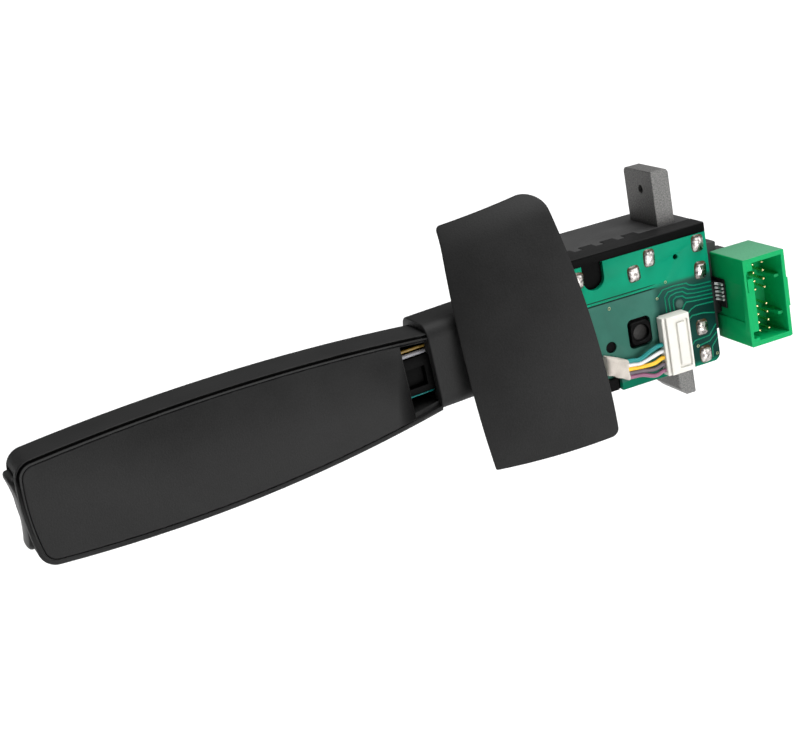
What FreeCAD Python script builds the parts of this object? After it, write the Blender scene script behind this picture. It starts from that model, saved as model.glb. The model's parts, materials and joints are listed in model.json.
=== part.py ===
import FreeCAD
import Part
import math
import os

# Combination stalk switch, in millimetres. +X runs to the vehicle connector, +Z is up, -Y faces the driver.
# The origin is the mouth of the locating dimple, on the -X face of the bracket bar's upper lug.

V = FreeCAD.Vector
X_AXIS = V(1, 0, 0)
Y_AXIS = V(0, 1, 0)
Z_AXIS = V(0, 0, 1)

# Fits that pieces share
running_gap = 0.05
slip_gap = 0.1
free_gap = 0.3

# How near an edge has to be to a plane to count as lying on it
on_plane = 0.01

# Mounting bracket: an upright bar whose two ends stand out of the housing as lugs
bar_width = 5.9
bar_depth = 13.5
upper_lug_rise = 15.0
lower_lug_drop = 11.0
lug_edge_radius = 0.9
lower_lug_chamfer = 2.4
lug_pad_proud = 0.3
dimple_radius = 1.25
dimple_depth = 2.0
dimple_below_top = 4.6

# Housing, in two moulded halves that meet behind the circuit board
housing_height = 41.8
housing_reach_left = 37.5
housing_reach_right = 10.5
housing_front_reach = 15.0
housing_back_reach = 16.0
housing_wall = 2.5
bar_pocket_wall = 2.3
cover_depth = 7.0
plate_thickness = 2.4
top_lip = 2.7
housing_edge_radius = 1.2
snap_count = 4
snap_length = 4.2
snap_depth = 3.0
snap_rise = 0.6
ledge_depth = 8.0
ledge_reach = 8.5
ledge_top_inset = 1.2
ledge_bottom_inset = 2.6
post_width = 3.6
post_from_housing = 1.2
post_rise = 2.8

# Circuit board
board_thickness = 1.6
board_height = 39.2
board_left_margin = 0.8
board_corner = 2.2
slot_from_right = 37.6
slot_radius = 3.4
slot_depth = 7.7
boss_window_width = 7.6
boss_window_height = 8.8
boss_window_corner = 1.6
board_pinhole_radius = 0.8
board_pinhole_from_right = 10.7
board_pinhole_drop = 4.9
board_peg_radius = 1.7
board_peg_from_right = 35.2
board_peg_drop = 25.6
board_peg_recess = 0.4
latch_width = 3.4
latch_height = 3.5
latch_from_right = 36.9
latch_drop = 36.4
latch_stem_inset = 0.7
latch_stand = 1.5

# Solder joints, each as its distance from the board's right and top edges
solder_width = 3.2
solder_height = 4.2
solder_corner = 1.2
solder_rise = 1.0
solder_slope = 0.7
solder_spots = [(42.6, 3.6), (24.7, 6.3), (19.2, 3.0), (3.0, 2.8), (3.1, 10.9), (4.9, 27.9), (4.8, 36.2)]

# Vehicle connector, a moulded socket that opens towards -Y
connector_width = 14.0
connector_depth = 16.8
connector_height = 26.2
connector_gap_from_board = 2.4
connector_drop = 7.3
connector_stand = 13.9
connector_wall = 1.5
connector_thin_wall = 1.1
socket_depth = 10.5
connector_edge = 0.5
key_notch_width = 2.2
key_notch_height = 5.6
key_notch_depth = 0.75
rib_thickness = 0.9
rib_reach = 1.5
outer_rib_reach = 0.7
outer_rib_height = 8.5
pin_size = 0.64
pin_pitch = 2.5
pin_row_spacing = 3.2
pin_positions = 9
pin_tip_recess = 3.2
lead_count = 5
lead_pitch = 1.9
lead_size = 0.7
lead_reach = 1.5

# Board header, its plug and the wires of the lever harness
header_width = 7.6
header_depth = 4.4
header_height = 17.4
header_from_right = 18.9
header_drop = 20.6
header_wall = 0.8
header_edge = 0.3
header_frame_depth = 0.6
header_frame_margin = 1.5
header_frame_left = 2.6
header_frame_line = 0.75
plug_flange = 1.1
plug_wire_seat = 2.6
wire_radius = 0.56
wire_pitch = 1.95
wire_colours = ["teal", "white", "yellow", "grey", "pink"]
wire_first_drop = 28.6
wire_fan = 1.2
wire_fall = 1.85
wire_stand = 2.2
wire_sleeve_run = 3.4
wire_plug_run = 4.6
bend_share = 0.45
sleeve_length = 6.6
sleeve_inset = 9.5
sleeve_thickness = 3.0
sleeve_margin = 0.25
sleeve_narrowing = 0.3
sleeve_climb = 3.1
sleeve_round = 1.0
sleeve_throat_width = 2.6
sleeve_throat_inset = 1.1

# Two-axis pivot: the yoke turns on the pivot pin (Y), the lever on the hinge pin (Z) in the yoke's fork
pivot_x = -14.9
pivot_above_chamber_floor = 12.8
pivot_pin_radius = 2.5
pivot_pin_seat = 1.4
pivot_boss_proud = 0.8
pivot_boss_size = 6.6
pivot_boss_recess = 1.0
yoke_hub_radius = 6.2
yoke_side_gap = 0.6
lever_axis_rise = 9.5
hinge_from_pivot = 18.1
hinge_y = -5.0
hinge_pin_radius = 2.0
eye_radius = 5.0
eye_height = 14.0
fork_arm = 3.2
fork_width = 9.6
web_relief_radius = 3.7
lever_rest_tilt = 2.7

# Detent under the hub: plunger, spring and cam
plunger_radius = 2.0
plunger_reach = 10.5
plunger_length = 4.4
plunger_boss_radius = 3.6
plunger_boss_reach = 8.6
detent_floor = 0.6
detent_spring_radius = 1.6
detent_spring_wire = 0.3
detent_spring_turns = 2.5
cam_half_angle = 24.0
cam_width = 8.0
cam_notch_depth = 0.35
cam_notch_angle = 9.0
cam_notch_count = 3

# Both coil springs are wound from a wire with this many sides, which keeps their surfaces few
spring_wire_sides = 8

# Return spring round the hinge pin
return_spring_wire = 0.45
return_spring_turns = 2.5
return_spring_height = 3.5
return_spring_clear = 0.35

# Lever: outline as distance from the pivot along -X and height about the lever's own axis
lever_front_y = -15.0
lever_thickness = 17.0
lever_root = 64.0
panel_start = 72.3
lever_middle = 118.0
lever_end = 179.6
root_half_height = 11.4
middle_rise = 15.7
middle_fall = 16.9
end_half_height = 14.5
end_bulge = 1.3
tip_corner = 5.2
lever_back_round = 4.4
lever_front_round = 1.0
shell_wall = 2.0
panel_thickness = 2.0
panel_inset = 1.5
panel_seam = 0.12
panel_edge = 0.35
panel_ledge = 1.2

# Core beam inside the lever, with a neck that reaches into the housing
neck_front_clear = 1.4
neck_depth = 9.2
core_depth = 9.0
core_front_recess = 4.0
core_rise = 4.9
core_fall = 5.7
core_end = 165.0
core_recess_size = 5.6
core_recess_depth = 2.6
core_recess_start = 65.2
core_recess_low = 1.0

# Collar between the lever and the shield
collar_end = 41.0
collar_rise = 13.6
collar_fall = 11.6
collar_proud = 0.6
collar_corner = 4.5
collar_wall = 3.0
collar_channel = 5.0
collar_groove = 2.5
collar_channel_depth = 4.5
collar_stop = 2.4

# Shield: a patch of a spherical shell in front of the housing's open end
shield_radius = 84.9
shield_wall = 2.2
shield_centre_reach = 12.3
shield_stand = 17.9
shield_centre_drop = 1.1
shield_facing = 18.9
shield_width = 37.34
shield_rise_left = 49.3
shield_rise_right = 52.2
shield_fall = 19.7
shield_tilt = 6.0
shield_top_right_corner = 9.0
shield_small_corner = 1.4
shield_web_start = 44.0
shield_web_length = 11.0
shield_web_height = 15.0
shield_web_reach = 21.0
shield_web_corner = 2.2

# Lever board, switches and wires
lever_board_thickness = 1.2
lever_board_start = 118.0
lever_board_setback = 8.6
lever_board_half_height = 7.0
switch_size = 3.4
switch_button_radius = 0.9
switch_spread = 6.2
lever_wire_radius = 0.75
lever_wire_gap = 0.12

# Rocker at the lever's tip
rocker_offset = 0.1
rocker_half_height = 10.4
rocker_width = 10.4
rocker_edge = 1.6
rocker_swing = 6.0
rocker_prong = 1.6
rocker_pin_from_end = 4.6
rocker_pin_radius = 1.2
rocker_hub_radius = 3.0
rocker_stand = 2.6
rocker_hollow = 1.3
rocker_skirt = 2.2
rocker_slot_margin = 1.1

# Screws
screw_head_radius = 2.5
screw_head_height = 1.6
screw_shank_radius = 1.3
screw_grip = 5.0
screw_drive_radius = 1.0
screw_drive_depth = 0.9
screw_boss_radius = 3.7
bracket_screw_spacing = 22.0
shell_screw_start = 88.0
shell_screw_spacing = 52.0

# Places that follow from the sizes above
bar_top = dimple_below_top
housing_top = bar_top - upper_lug_rise
housing_bottom = housing_top - housing_height
bar_bottom = housing_bottom - lower_lug_drop
bar_centre_x = bar_width / 2
housing_left = -housing_reach_left
housing_right = housing_reach_right
housing_front = -housing_front_reach
housing_back = housing_back_reach
cover_back = housing_front + cover_depth
board_front = housing_front
board_back = board_front + board_thickness
plate_back = board_back + plate_thickness
board_top = housing_top - top_lip - slip_gap
board_bottom = board_top - board_height
board_left = housing_left + board_left_margin
board_right = housing_right
chamber_right = -bar_pocket_wall
chamber_back = housing_back - housing_wall
chamber_top = housing_top - housing_wall
chamber_bottom = housing_bottom + housing_wall
pivot_z = chamber_bottom + pivot_above_chamber_floor
lever_axis_z = pivot_z + lever_axis_rise
hinge_x = pivot_x - hinge_from_pivot
lever_back_y = lever_front_y + lever_thickness
lever_board_end = lever_end - lever_board_setback
core_front = lever_front_y + core_front_recess
core_back = core_front + core_depth
collar_front = lever_front_y - collar_proud
collar_back = lever_back_y + collar_proud
connector_left = board_right + connector_gap_from_board
connector_right = connector_left + connector_width
connector_front = board_front - connector_stand
connector_back = connector_front + connector_depth
connector_top = board_top - connector_drop
connector_bottom = connector_top - connector_height
header_left = board_right - header_from_right
header_top = board_top - header_drop
sleeve_left = housing_left + sleeve_inset
sleeve_right = sleeve_left + sleeve_length
sleeve_mid_y = board_front - wire_stand + wire_radius
shield_centre_x = pivot_x - shield_centre_reach
shield_centre_y = collar_front - shield_stand + shield_radius
shield_centre_z = pivot_z - shield_centre_drop
shield_half_turn = math.degrees(shield_width / shield_radius) / 2
shield_left_azimuth = shield_facing + shield_half_turn
shield_right_azimuth = shield_facing - shield_half_turn


def box(x0, x1, y0, y1, z0, z1):
    return Part.makeBox(x1 - x0, y1 - y0, z1 - z0, V(x0, y0, z0))


def rod(radius, start, direction, length):
    return Part.makeCylinder(radius, length, start, direction)


def joined(shapes):
    shape = shapes[0].multiFuse(shapes[1:]) if len(shapes) > 1 else shapes[0]
    return shape.removeSplitter()


def rounded(shape, radius, chosen):
    edges = [edge for edge in shape.Edges if chosen(edge)]
    return shape.makeFillet(radius, edges) if edges else shape


def runs_along(edge, axis):
    if len(edge.Vertexes) != 2:
        return False
    step = edge.Vertexes[1].Point - edge.Vertexes[0].Point
    return step.Length > 0 and abs(step.dot(axis)) > step.Length * 0.999


def slab(wire, y0, y1):
    # Extrudes a closed wire that lies at y = 0 between two depths.
    face = Part.Face(wire)
    face.translate(V(0, y0, 0))
    return face.extrude(V(0, y1 - y0, 0))


def rounded_plate(x0, x1, y0, y1, z0, z1, radius):
    plate = box(x0, x1, y0, y1, z0, z1)
    return rounded(plate, radius, lambda edge: runs_along(edge, Y_AXIS))


def tilted(shape):
    # Turns a lever or yoke piece about the pivot into its rest position, tip low.
    turned = shape.copy()
    turned.rotate(V(pivot_x, 0, pivot_z), Y_AXIS, -lever_rest_tilt)
    return turned


def along(distance):
    # X of a point on the straight lever, at a distance from the pivot.
    return pivot_x - distance


def up(height):
    # Z of a point on the straight lever, at a height about its axis.
    return lever_axis_z + height


def screw(head_end, direction, length):
    # Pan head with a round drive recess, and a shank that points along direction.
    head = rod(screw_head_radius, head_end, direction, screw_head_height)
    drive = rod(screw_drive_radius, head_end, direction, screw_drive_depth)
    shank_start = head_end + direction * screw_head_height
    shank = rod(screw_shank_radius, shank_start, direction, length - screw_head_height)
    return joined([head, shank]).cut(drive)


def screw_hole(head_end, direction, length):
    # Room for one screw, with a counterbore as deep as its head.
    head = rod(screw_head_radius + slip_gap, head_end, direction, screw_head_height)
    shank = rod(screw_shank_radius, head_end, direction, length + free_gap)
    return joined([head, shank])


def bracket_screw_places():
    middle = (housing_top + housing_bottom) / 2
    heights = [middle - bracket_screw_spacing / 2, middle + bracket_screw_spacing / 2]
    return [V(bar_centre_x, housing_back, height) for height in heights]


def bracket_screw_length():
    return housing_back - bar_depth / 2 + screw_grip


def mounting_bracket():
    half = bar_depth / 2
    bar = box(0, bar_width, -half, half, bar_bottom, bar_top)
    bar = rounded(bar, lug_edge_radius, lambda edge: runs_along(edge, Z_AXIS))
    bar = rounded(bar, lug_edge_radius / 2, lambda edge: edge.BoundBox.ZMin > bar_top - on_plane)
    corner = [V(0, -half, bar_bottom), V(lower_lug_chamfer, -half, bar_bottom),
              V(0, -half, bar_bottom + lower_lug_chamfer), V(0, -half, bar_bottom)]
    bar = bar.cut(Part.Face(Part.makePolygon(corner)).extrude(V(0, bar_depth, 0)))
    bar = bar.cut(box(0, bar_width, -half, lug_pad_proud - half,
                      housing_bottom - free_gap, housing_top + free_gap))
    bar = bar.cut(rod(dimple_radius, V(0, 0, 0), X_AXIS, dimple_depth))
    for place in bracket_screw_places():
        bar = bar.cut(screw_hole(place, -Y_AXIS, bracket_screw_length()))
    return bar


def bar_room():
    half = bar_depth / 2
    return box(-slip_gap, bar_width + slip_gap, -half - slip_gap, half + slip_gap, bar_bottom, bar_top)


def snap_places():
    pitch = (chamber_right - housing_left) / (snap_count + 1)
    return [housing_left + pitch * (index + 1) for index in range(snap_count)]


def snap_boxes(gap):
    half = snap_length / 2 + gap
    low = housing_top - snap_rise - gap
    back = cover_back + snap_depth + gap
    return [box(x - half, x + half, cover_back, back, low, housing_top) for x in snap_places()]


def housing_shell():
    shell = box(housing_left, housing_right, cover_back, housing_back, housing_bottom, housing_top)
    shell = rounded(shell, housing_edge_radius,
                    lambda edge: runs_along(edge, X_AXIS) and edge.CenterOfMass.y > housing_back - on_plane)
    shell = shell.cut(box(housing_left, chamber_right, cover_back, chamber_back, chamber_bottom, chamber_top))
    shell = joined([shell, connector_ledge()])
    shell = shell.cut(bar_room())
    for notch in snap_boxes(running_gap):
        shell = shell.cut(notch)
    shell = shell.cut(rod(pivot_pin_radius, V(pivot_x, chamber_back, pivot_z), Y_AXIS, pivot_pin_seat))
    for place in bracket_screw_places():
        shell = shell.cut(screw_hole(place, -Y_AXIS, bracket_screw_length()))
    return shell


def connector_ledge():
    # The bracket on the shell's right side that the connector is seated against, with a post above it.
    back = connector_back + ledge_depth
    ledge = box(housing_right, connector_left + ledge_reach, connector_back, back,
                connector_bottom + ledge_bottom_inset, connector_top - ledge_top_inset)
    ledge = rounded(ledge, housing_edge_radius, lambda edge: runs_along(edge, Y_AXIS)
                    and edge.CenterOfMass.x > connector_left)
    post_left = housing_right + post_from_housing
    post = box(post_left, post_left + post_width, connector_back, back,
               connector_top - ledge_top_inset, connector_top + post_rise)
    post = rounded(post, housing_edge_radius / 2, lambda edge: runs_along(edge, Y_AXIS)
                   and edge.CenterOfMass.z > connector_top)
    return joined([ledge, post])


def cable_port(gap):
    # A notch at the open end that the sleeve's throat passes through.
    low, high = throat_heights()
    right = sleeve_left + sleeve_throat_width + gap
    return box(housing_left, right, board_front, plate_back, low - gap, high + gap)


def latch_box(inset, front, back):
    x = board_right - latch_from_right
    z = board_top - latch_drop
    half_width = latch_width / 2 - inset
    half_height = latch_height / 2 - inset
    return box(x - half_width, x + half_width, front, back, z - half_height, z + half_height)


def board_latch():
    head = latch_box(0, board_front - latch_stand, board_front)
    head = rounded(head, latch_stem_inset / 2,
                   lambda edge: edge.BoundBox.YMax < board_front - latch_stand + on_plane)
    return joined([head, latch_box(latch_stem_inset, board_front, board_back)])


def housing_cover():
    cover = box(housing_left, housing_right, housing_front, cover_back, housing_bottom, housing_top)
    cover = cover.cut(box(housing_left, housing_right, housing_front, board_back,
                          housing_bottom, housing_top - top_lip))
    cover = cover.cut(box(housing_left, chamber_right, plate_back, cover_back, chamber_bottom, chamber_top))
    cover = rounded(cover, housing_edge_radius / 2, lambda edge: runs_along(edge, X_AXIS)
                    and edge.CenterOfMass.z > housing_top - on_plane
                    and edge.CenterOfMass.y < housing_front + on_plane)
    cover = cover.cut(bar_room())
    half = pivot_boss_size / 2
    boss = rounded_plate(pivot_x - half, pivot_x + half, board_front - pivot_boss_proud, board_back,
                         pivot_z - half, pivot_z + half, boss_window_corner)
    peg_start = V(board_right - board_peg_from_right, board_front + board_peg_recess,
                  board_top - board_peg_drop)
    peg = rod(board_peg_radius - slip_gap, peg_start, Y_AXIS, board_thickness)
    cover = joined([cover, boss, peg, board_latch()] + snap_boxes(0))
    recess = rod(pivot_pin_radius + slip_gap, V(pivot_x, board_front - pivot_boss_proud, pivot_z),
                 Y_AXIS, pivot_boss_recess)
    pin_seat = rod(pivot_pin_radius, V(pivot_x, board_front, pivot_z), Y_AXIS, cover_depth)
    return cover.cut(recess).cut(pin_seat).cut(cable_port(0))


def circuit_board():
    board = box(board_left, board_right, board_front, board_back, board_bottom, board_top)
    board = rounded(board, board_corner, lambda edge: runs_along(edge, Y_AXIS)
                    and edge.CenterOfMass.z < board_bottom + on_plane)
    slot_x = board_right - slot_from_right
    slot_z = board_top - slot_depth + slot_radius
    slot = rod(slot_radius, V(slot_x, board_front, slot_z), Y_AXIS, board_thickness)
    throat = box(slot_x - slot_radius, slot_x + slot_radius, board_front, board_back, slot_z, board_top)
    half_width = boss_window_width / 2
    half_height = boss_window_height / 2
    window = rounded_plate(pivot_x - half_width, pivot_x + half_width, board_front, board_back,
                           pivot_z - half_height, pivot_z + half_height, boss_window_corner)
    pinhole = rod(board_pinhole_radius, V(board_right - board_pinhole_from_right, board_front,
                                          board_top - board_pinhole_drop), Y_AXIS, board_thickness)
    peg_hole = rod(board_peg_radius, V(board_right - board_peg_from_right, board_front,
                                       board_top - board_peg_drop), Y_AXIS, board_thickness)
    latch_hole = latch_box(latch_stem_inset - slip_gap, board_front, board_back)
    for cut in (slot, throat, window, pinhole, peg_hole, latch_hole, cable_port(slip_gap)):
        board = board.cut(cut)
    return board


def solder_joints():
    crest = board_front - solder_rise
    joints = []
    for from_right, drop in solder_spots:
        x = board_right - from_right
        z = board_top - drop
        joint = rounded_plate(x - solder_width / 2, x + solder_width / 2, crest, board_front,
                              z - solder_height / 2, z + solder_height / 2, solder_corner)
        rim = [edge for edge in joint.Edges if edge.BoundBox.YMax < crest + on_plane]
        joints.append(joint.makeChamfer(solder_slope, rim))
    return Part.makeCompound(joints)


def socket_room():
    inner_left = connector_left + connector_wall
    inner_right = connector_right - connector_thin_wall
    return (inner_left, inner_right, connector_front, connector_front + socket_depth,
            connector_bottom + connector_wall, connector_top - connector_wall)


def vehicle_connector():
    body = box(connector_left, connector_right, connector_front, connector_back,
               connector_bottom, connector_top)
    body = rounded(body, connector_edge, lambda edge: runs_along(edge, Y_AXIS))
    x0, x1, y0, y1, z0, z1 = socket_room()
    body = body.cut(box(x0, x1, y0, y1, z0, z1))
    notch_top = z1 - key_notch_height / 2
    body = body.cut(box(x0 - key_notch_depth, x0, y0, y1, notch_top - key_notch_height, notch_top))
    body = body.cut(box(x0 - connector_wall, x0, y0, y0 + key_notch_width, z0, z0 + key_notch_height / 2))
    middle = (z0 + z1) / 2
    ribs = []
    for height in (middle + key_notch_height, middle - key_notch_height):
        ribs.append(box(x1 - rib_reach, x1, y0 + key_notch_width, y1, height - rib_thickness, height))
    ribs.append(box(connector_right, connector_right + outer_rib_reach,
                    connector_front + connector_edge, connector_back - key_notch_width,
                    middle - outer_rib_height / 2, middle + outer_rib_height / 2))
    body = joined([body] + ribs)
    for place in pin_places():
        body = body.cut(pin_bar(place, 0))
    return body


def pin_places():
    centre_x = (connector_left + connector_right) / 2
    centre_z = (connector_top + connector_bottom) / 2
    places = []
    for column in (-0.5, 0.5):
        for row in range(pin_positions):
            offset = row - (pin_positions - 1) / 2
            if offset != 0:
                places.append((centre_x + column * pin_row_spacing, centre_z + offset * pin_pitch))
    return places


def pin_bar(place, gap):
    half = pin_size / 2
    x, z = place
    start = connector_front + pin_tip_recess
    end = connector_back - connector_wall
    return box(x - half + gap, x + half - gap, start, end, z - half + gap, z + half - gap)


def connector_pins():
    pins = []
    for place in pin_places():
        pin = pin_bar(place, 0)
        tip = connector_front + pin_tip_recess
        tip_edges = [edge for edge in pin.Edges if edge.CenterOfMass.y < tip + on_plane]
        pins.append(pin.makeChamfer(pin_size / 4, tip_edges))
    return Part.makeCompound(pins)


def lead_strip():
    middle = (connector_top + connector_bottom) / 2
    half = lead_pitch * lead_count / 2
    strip = box(board_right, connector_left, board_front, connector_back,
                middle - half, middle + half)
    return strip


def connector_leads():
    middle = (connector_top + connector_bottom) / 2
    leads = []
    for index in range(lead_count):
        z = middle + (index - (lead_count - 1) / 2) * lead_pitch
        leads.append(box(connector_left - lead_reach, connector_left,
                         board_front - lead_size / 2, board_front,
                         z - lead_size / 2, z + lead_size / 2))
    return Part.makeCompound(leads)


def header_cavity():
    return box(header_left, header_left + header_width - header_wall,
               board_front - header_depth + header_wall, board_front - header_wall,
               header_top - header_height + header_wall, header_top - header_wall)


def board_header():
    header = box(header_left, header_left + header_width, board_front - header_depth, board_front,
                 header_top - header_height, header_top)
    front = board_front - header_depth
    header = rounded(header, header_edge, lambda edge: edge.CenterOfMass.y < front + on_plane)
    line = header_frame_line
    x0 = header_left + header_frame_left
    x1 = header_left + header_width - line
    z0 = header_top - header_height + header_frame_margin
    z1 = header_top - header_frame_margin
    frame = rounded_plate(x0, x1, front, front + header_frame_depth, z0, z1, line / 2)
    island = box(x0 + line, x1 - line, front, front + header_frame_depth, z0 + line, z1 - line)
    return header.cut(header_cavity()).cut(frame.cut(island))


def wire_heights():
    # Wire heights at the plug and at the sleeve, top wire first.
    top = board_top - wire_first_drop
    plug = [top - wire_pitch * index for index in range(len(wire_colours))]
    sleeve = [top - wire_fall - wire_fan * index for index in range(len(wire_colours))]
    return plug, sleeve


def harness_plug():
    gap = slip_gap
    room = header_cavity().BoundBox
    body = box(header_left - plug_flange, room.XMax - gap, room.YMin + gap, room.YMax - gap,
               room.ZMin + gap, room.ZMax - gap)
    left = header_left - plug_flange
    flange = box(left, header_left, board_front - header_depth + header_wall, board_front - header_wall,
                 header_top - header_height, header_top)
    flange = rounded(flange, header_edge, lambda edge: edge.CenterOfMass.x < left + on_plane)
    plug = joined([body, flange])
    for height in wire_heights()[0]:
        plug = plug.cut(rod(wire_radius, V(left, board_front - wire_stand, height), X_AXIS, plug_wire_seat))
    return plug


def tube_through(points, radius):
    # A round tube along straight runs that are joined by tangent arcs.
    edges = []
    start = points[0]
    for before, corner, after in zip(points, points[1:], points[2:]):
        run_in = corner - before
        run_out = after - corner
        turn = run_in.getAngle(run_out)
        reach = min(run_in.Length, run_out.Length) * bend_share
        enter = corner - run_in.normalize() * reach
        leave = corner + run_out.normalize() * reach
        inward = ((enter + leave) * 0.5 - corner).normalize()
        bend = reach / math.tan(turn / 2)
        centre = corner + inward * (bend / math.cos(turn / 2))
        middle = centre + (corner - centre).normalize() * bend
        edges.append(Part.LineSegment(start, enter).toShape())
        edges.append(Part.Arc(enter, middle, leave).toShape())
        start = leave
    edges.append(Part.LineSegment(start, points[-1]).toShape())
    path = Part.Wire(edges)
    first_run = points[1] - points[0]
    ring = Part.Wire([Part.makeCircle(radius, points[0], first_run)])
    return path.makePipeShell([ring], True, True)


def harness_wire(index):
    plug, sleeve = wire_heights()
    x_plug = header_left - plug_flange + plug_wire_seat
    y_plug = board_front - wire_stand
    points = [V(sleeve_right, sleeve_mid_y, sleeve[index]),
              V(sleeve_right + wire_sleeve_run, sleeve_mid_y, sleeve[index]),
              V(x_plug - wire_plug_run, y_plug, plug[index]),
              V(x_plug, y_plug, plug[index])]
    return tube_through(points, wire_radius)


def sleeve_heights():
    # The sleeve's lower and upper edge at its mouth.
    sleeve = wire_heights()[1]
    return sleeve[-1] - wire_radius - sleeve_margin, sleeve[0] + wire_radius + sleeve_margin


def sleeve_left_heights():
    # The same at its closed left end, which stands higher.
    low, high = sleeve_heights()
    return low + sleeve_climb + sleeve_narrowing, high + sleeve_climb - sleeve_narrowing


def throat_heights():
    # The throat behind the closed end, which turns back through the board into the housing.
    low, high = sleeve_left_heights()
    return low + sleeve_throat_inset, high - sleeve_throat_inset


def harness_sleeve():
    # A flat soft guide that gathers the five wires, climbs to the left and turns back into the cable port.
    low, high = sleeve_heights()
    left_low, left_high = sleeve_left_heights()
    throat_low, throat_high = throat_heights()
    front = sleeve_mid_y - sleeve_thickness / 2
    corners = [V(sleeve_right, 0, low), V(sleeve_right, 0, high), V(sleeve_left, 0, left_high),
               V(sleeve_left, 0, left_low), V(sleeve_right, 0, low)]
    mouth = slab(Part.makePolygon(corners), front, front + sleeve_thickness)
    throat = box(sleeve_left, sleeve_left + sleeve_throat_width, sleeve_mid_y, plate_back,
                 throat_low, throat_high)
    sleeve = joined([mouth, throat])
    return rounded(sleeve, sleeve_round, lambda edge: edge.BoundBox.YMax < front + on_plane
                   and edge.BoundBox.XMin < sleeve_right - on_plane)


def pivot_pin():
    start = board_front
    end = chamber_back + pivot_pin_seat
    return rod(pivot_pin_radius, V(pivot_x, start, pivot_z), Y_AXIS, end - start)


def yoke_ends():
    return plate_back + yoke_side_gap, chamber_back - yoke_side_gap


def fork_heights():
    inner = eye_height / 2 + slip_gap
    return inner, inner + fork_arm


def swing_yoke():
    y0, y1 = yoke_ends()
    hub = rod(yoke_hub_radius, V(pivot_x, y0, pivot_z), Y_AXIS, y1 - y0)
    inner, outer = fork_heights()
    fork_front = hinge_y - fork_width / 2
    fork_back = hinge_y + fork_width / 2
    web_left = hinge_x + eye_radius + free_gap * 2
    web = box(web_left, pivot_x, fork_front, fork_back, lever_axis_z - outer, lever_axis_z + outer)
    web = web.cut(rod(web_relief_radius, V(pivot_x, fork_front, lever_axis_z + outer), Y_AXIS, fork_width))
    arms = []
    for low in (lever_axis_z + inner, lever_axis_z - outer):
        arm = box(hinge_x, web_left, fork_front, fork_back, low, low + fork_arm)
        end = rod(fork_width / 2, V(hinge_x, hinge_y, low), Z_AXIS, fork_arm)
        arms.extend([arm, end])
    boss = rod(plunger_boss_radius, V(pivot_x, 0, pivot_z), -Z_AXIS, plunger_boss_reach)
    yoke = joined([hub, web, boss] + arms)
    yoke = yoke.cut(rod(pivot_pin_radius + running_gap, V(pivot_x, y0, pivot_z), Y_AXIS, y1 - y0))
    yoke = yoke.cut(rod(hinge_pin_radius, V(hinge_x, hinge_y, lever_axis_z - outer), Z_AXIS, outer * 2))
    bore = rod(plunger_radius + running_gap, V(pivot_x, 0, pivot_z - bore_floor()), -Z_AXIS,
               plunger_boss_reach)
    return tilted(yoke.cut(bore))


def hinge_pin():
    outer = fork_heights()[1]
    return tilted(rod(hinge_pin_radius, V(hinge_x, hinge_y, lever_axis_z - outer), Z_AXIS, outer * 2))


def wire_section(radius, wire):
    # The outline of a spring wire at a coil's start, with flats that touch the round wire of that radius.
    step = math.pi * 2 / spring_wire_sides
    corner = wire / math.cos(step / 2)
    angles = [step * (index + 0.5) for index in range(spring_wire_sides)]
    points = [V(radius + corner * math.cos(angle), 0, corner * math.sin(angle)) for angle in angles]
    return Part.makePolygon(points + points[:1])


def coil(radius, wire, turns, height, base, direction):
    # A coil whose axis starts at base, made along +Z and then turned.
    pitch = (height - wire * 2) / turns
    helix = Part.makeHelix(pitch, pitch * turns, radius)
    body = Part.Wire(helix.Edges).makePipeShell([wire_section(radius, wire)], True, True)
    body.translate(V(0, 0, wire))
    if direction.z < 0:
        body.rotate(V(0, 0, 0), X_AXIS, 180)
    body.translate(base)
    return body


def bore_floor():
    # How far below the pivot the plunger's blind bore ends.
    return pivot_pin_radius + detent_floor


def detent_spring():
    start = bore_floor() + running_gap
    length = plunger_reach - plunger_length - start - running_gap
    return tilted(coil(detent_spring_radius, detent_spring_wire, detent_spring_turns, length,
                       V(pivot_x, 0, pivot_z - start), -Z_AXIS))


def detent_plunger():
    tip_centre = plunger_reach - plunger_radius
    body = rod(plunger_radius, V(pivot_x, 0, pivot_z - tip_centre), Z_AXIS, plunger_length - plunger_radius)
    tip = Part.makeSphere(plunger_radius, V(pivot_x, 0, pivot_z - tip_centre))
    return tilted(joined([body, tip]))


def detent_cam():
    # A block on the chamber floor whose upper face is an arc about the pivot, with shallow notches.
    track = plunger_reach + slip_gap
    half_width = track * math.sin(math.radians(cam_half_angle))
    y0 = -cam_width / 2
    block = box(pivot_x - half_width, pivot_x + half_width, y0, y0 + cam_width, chamber_bottom, pivot_z)
    block = block.cut(rod(track, V(pivot_x, y0, pivot_z), Y_AXIS, cam_width))
    for index in range(cam_notch_count):
        angle = math.radians((index - (cam_notch_count - 1) / 2) * cam_notch_angle + 90 + lever_rest_tilt)
        reach = track - plunger_radius + cam_notch_depth
        centre = V(pivot_x + reach * math.cos(angle), y0, pivot_z - reach * math.sin(angle))
        block = block.cut(rod(plunger_radius, centre, Y_AXIS, cam_width))
    return block


def eye_spring_room():
    return hinge_pin_radius + return_spring_clear + return_spring_wire


def return_spring():
    inner = fork_heights()[0]
    top = lever_axis_z + inner - running_gap
    return tilted(coil(eye_spring_room(), return_spring_wire, return_spring_turns, return_spring_height,
                       V(hinge_x, hinge_y, top - return_spring_height), Z_AXIS))


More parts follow.
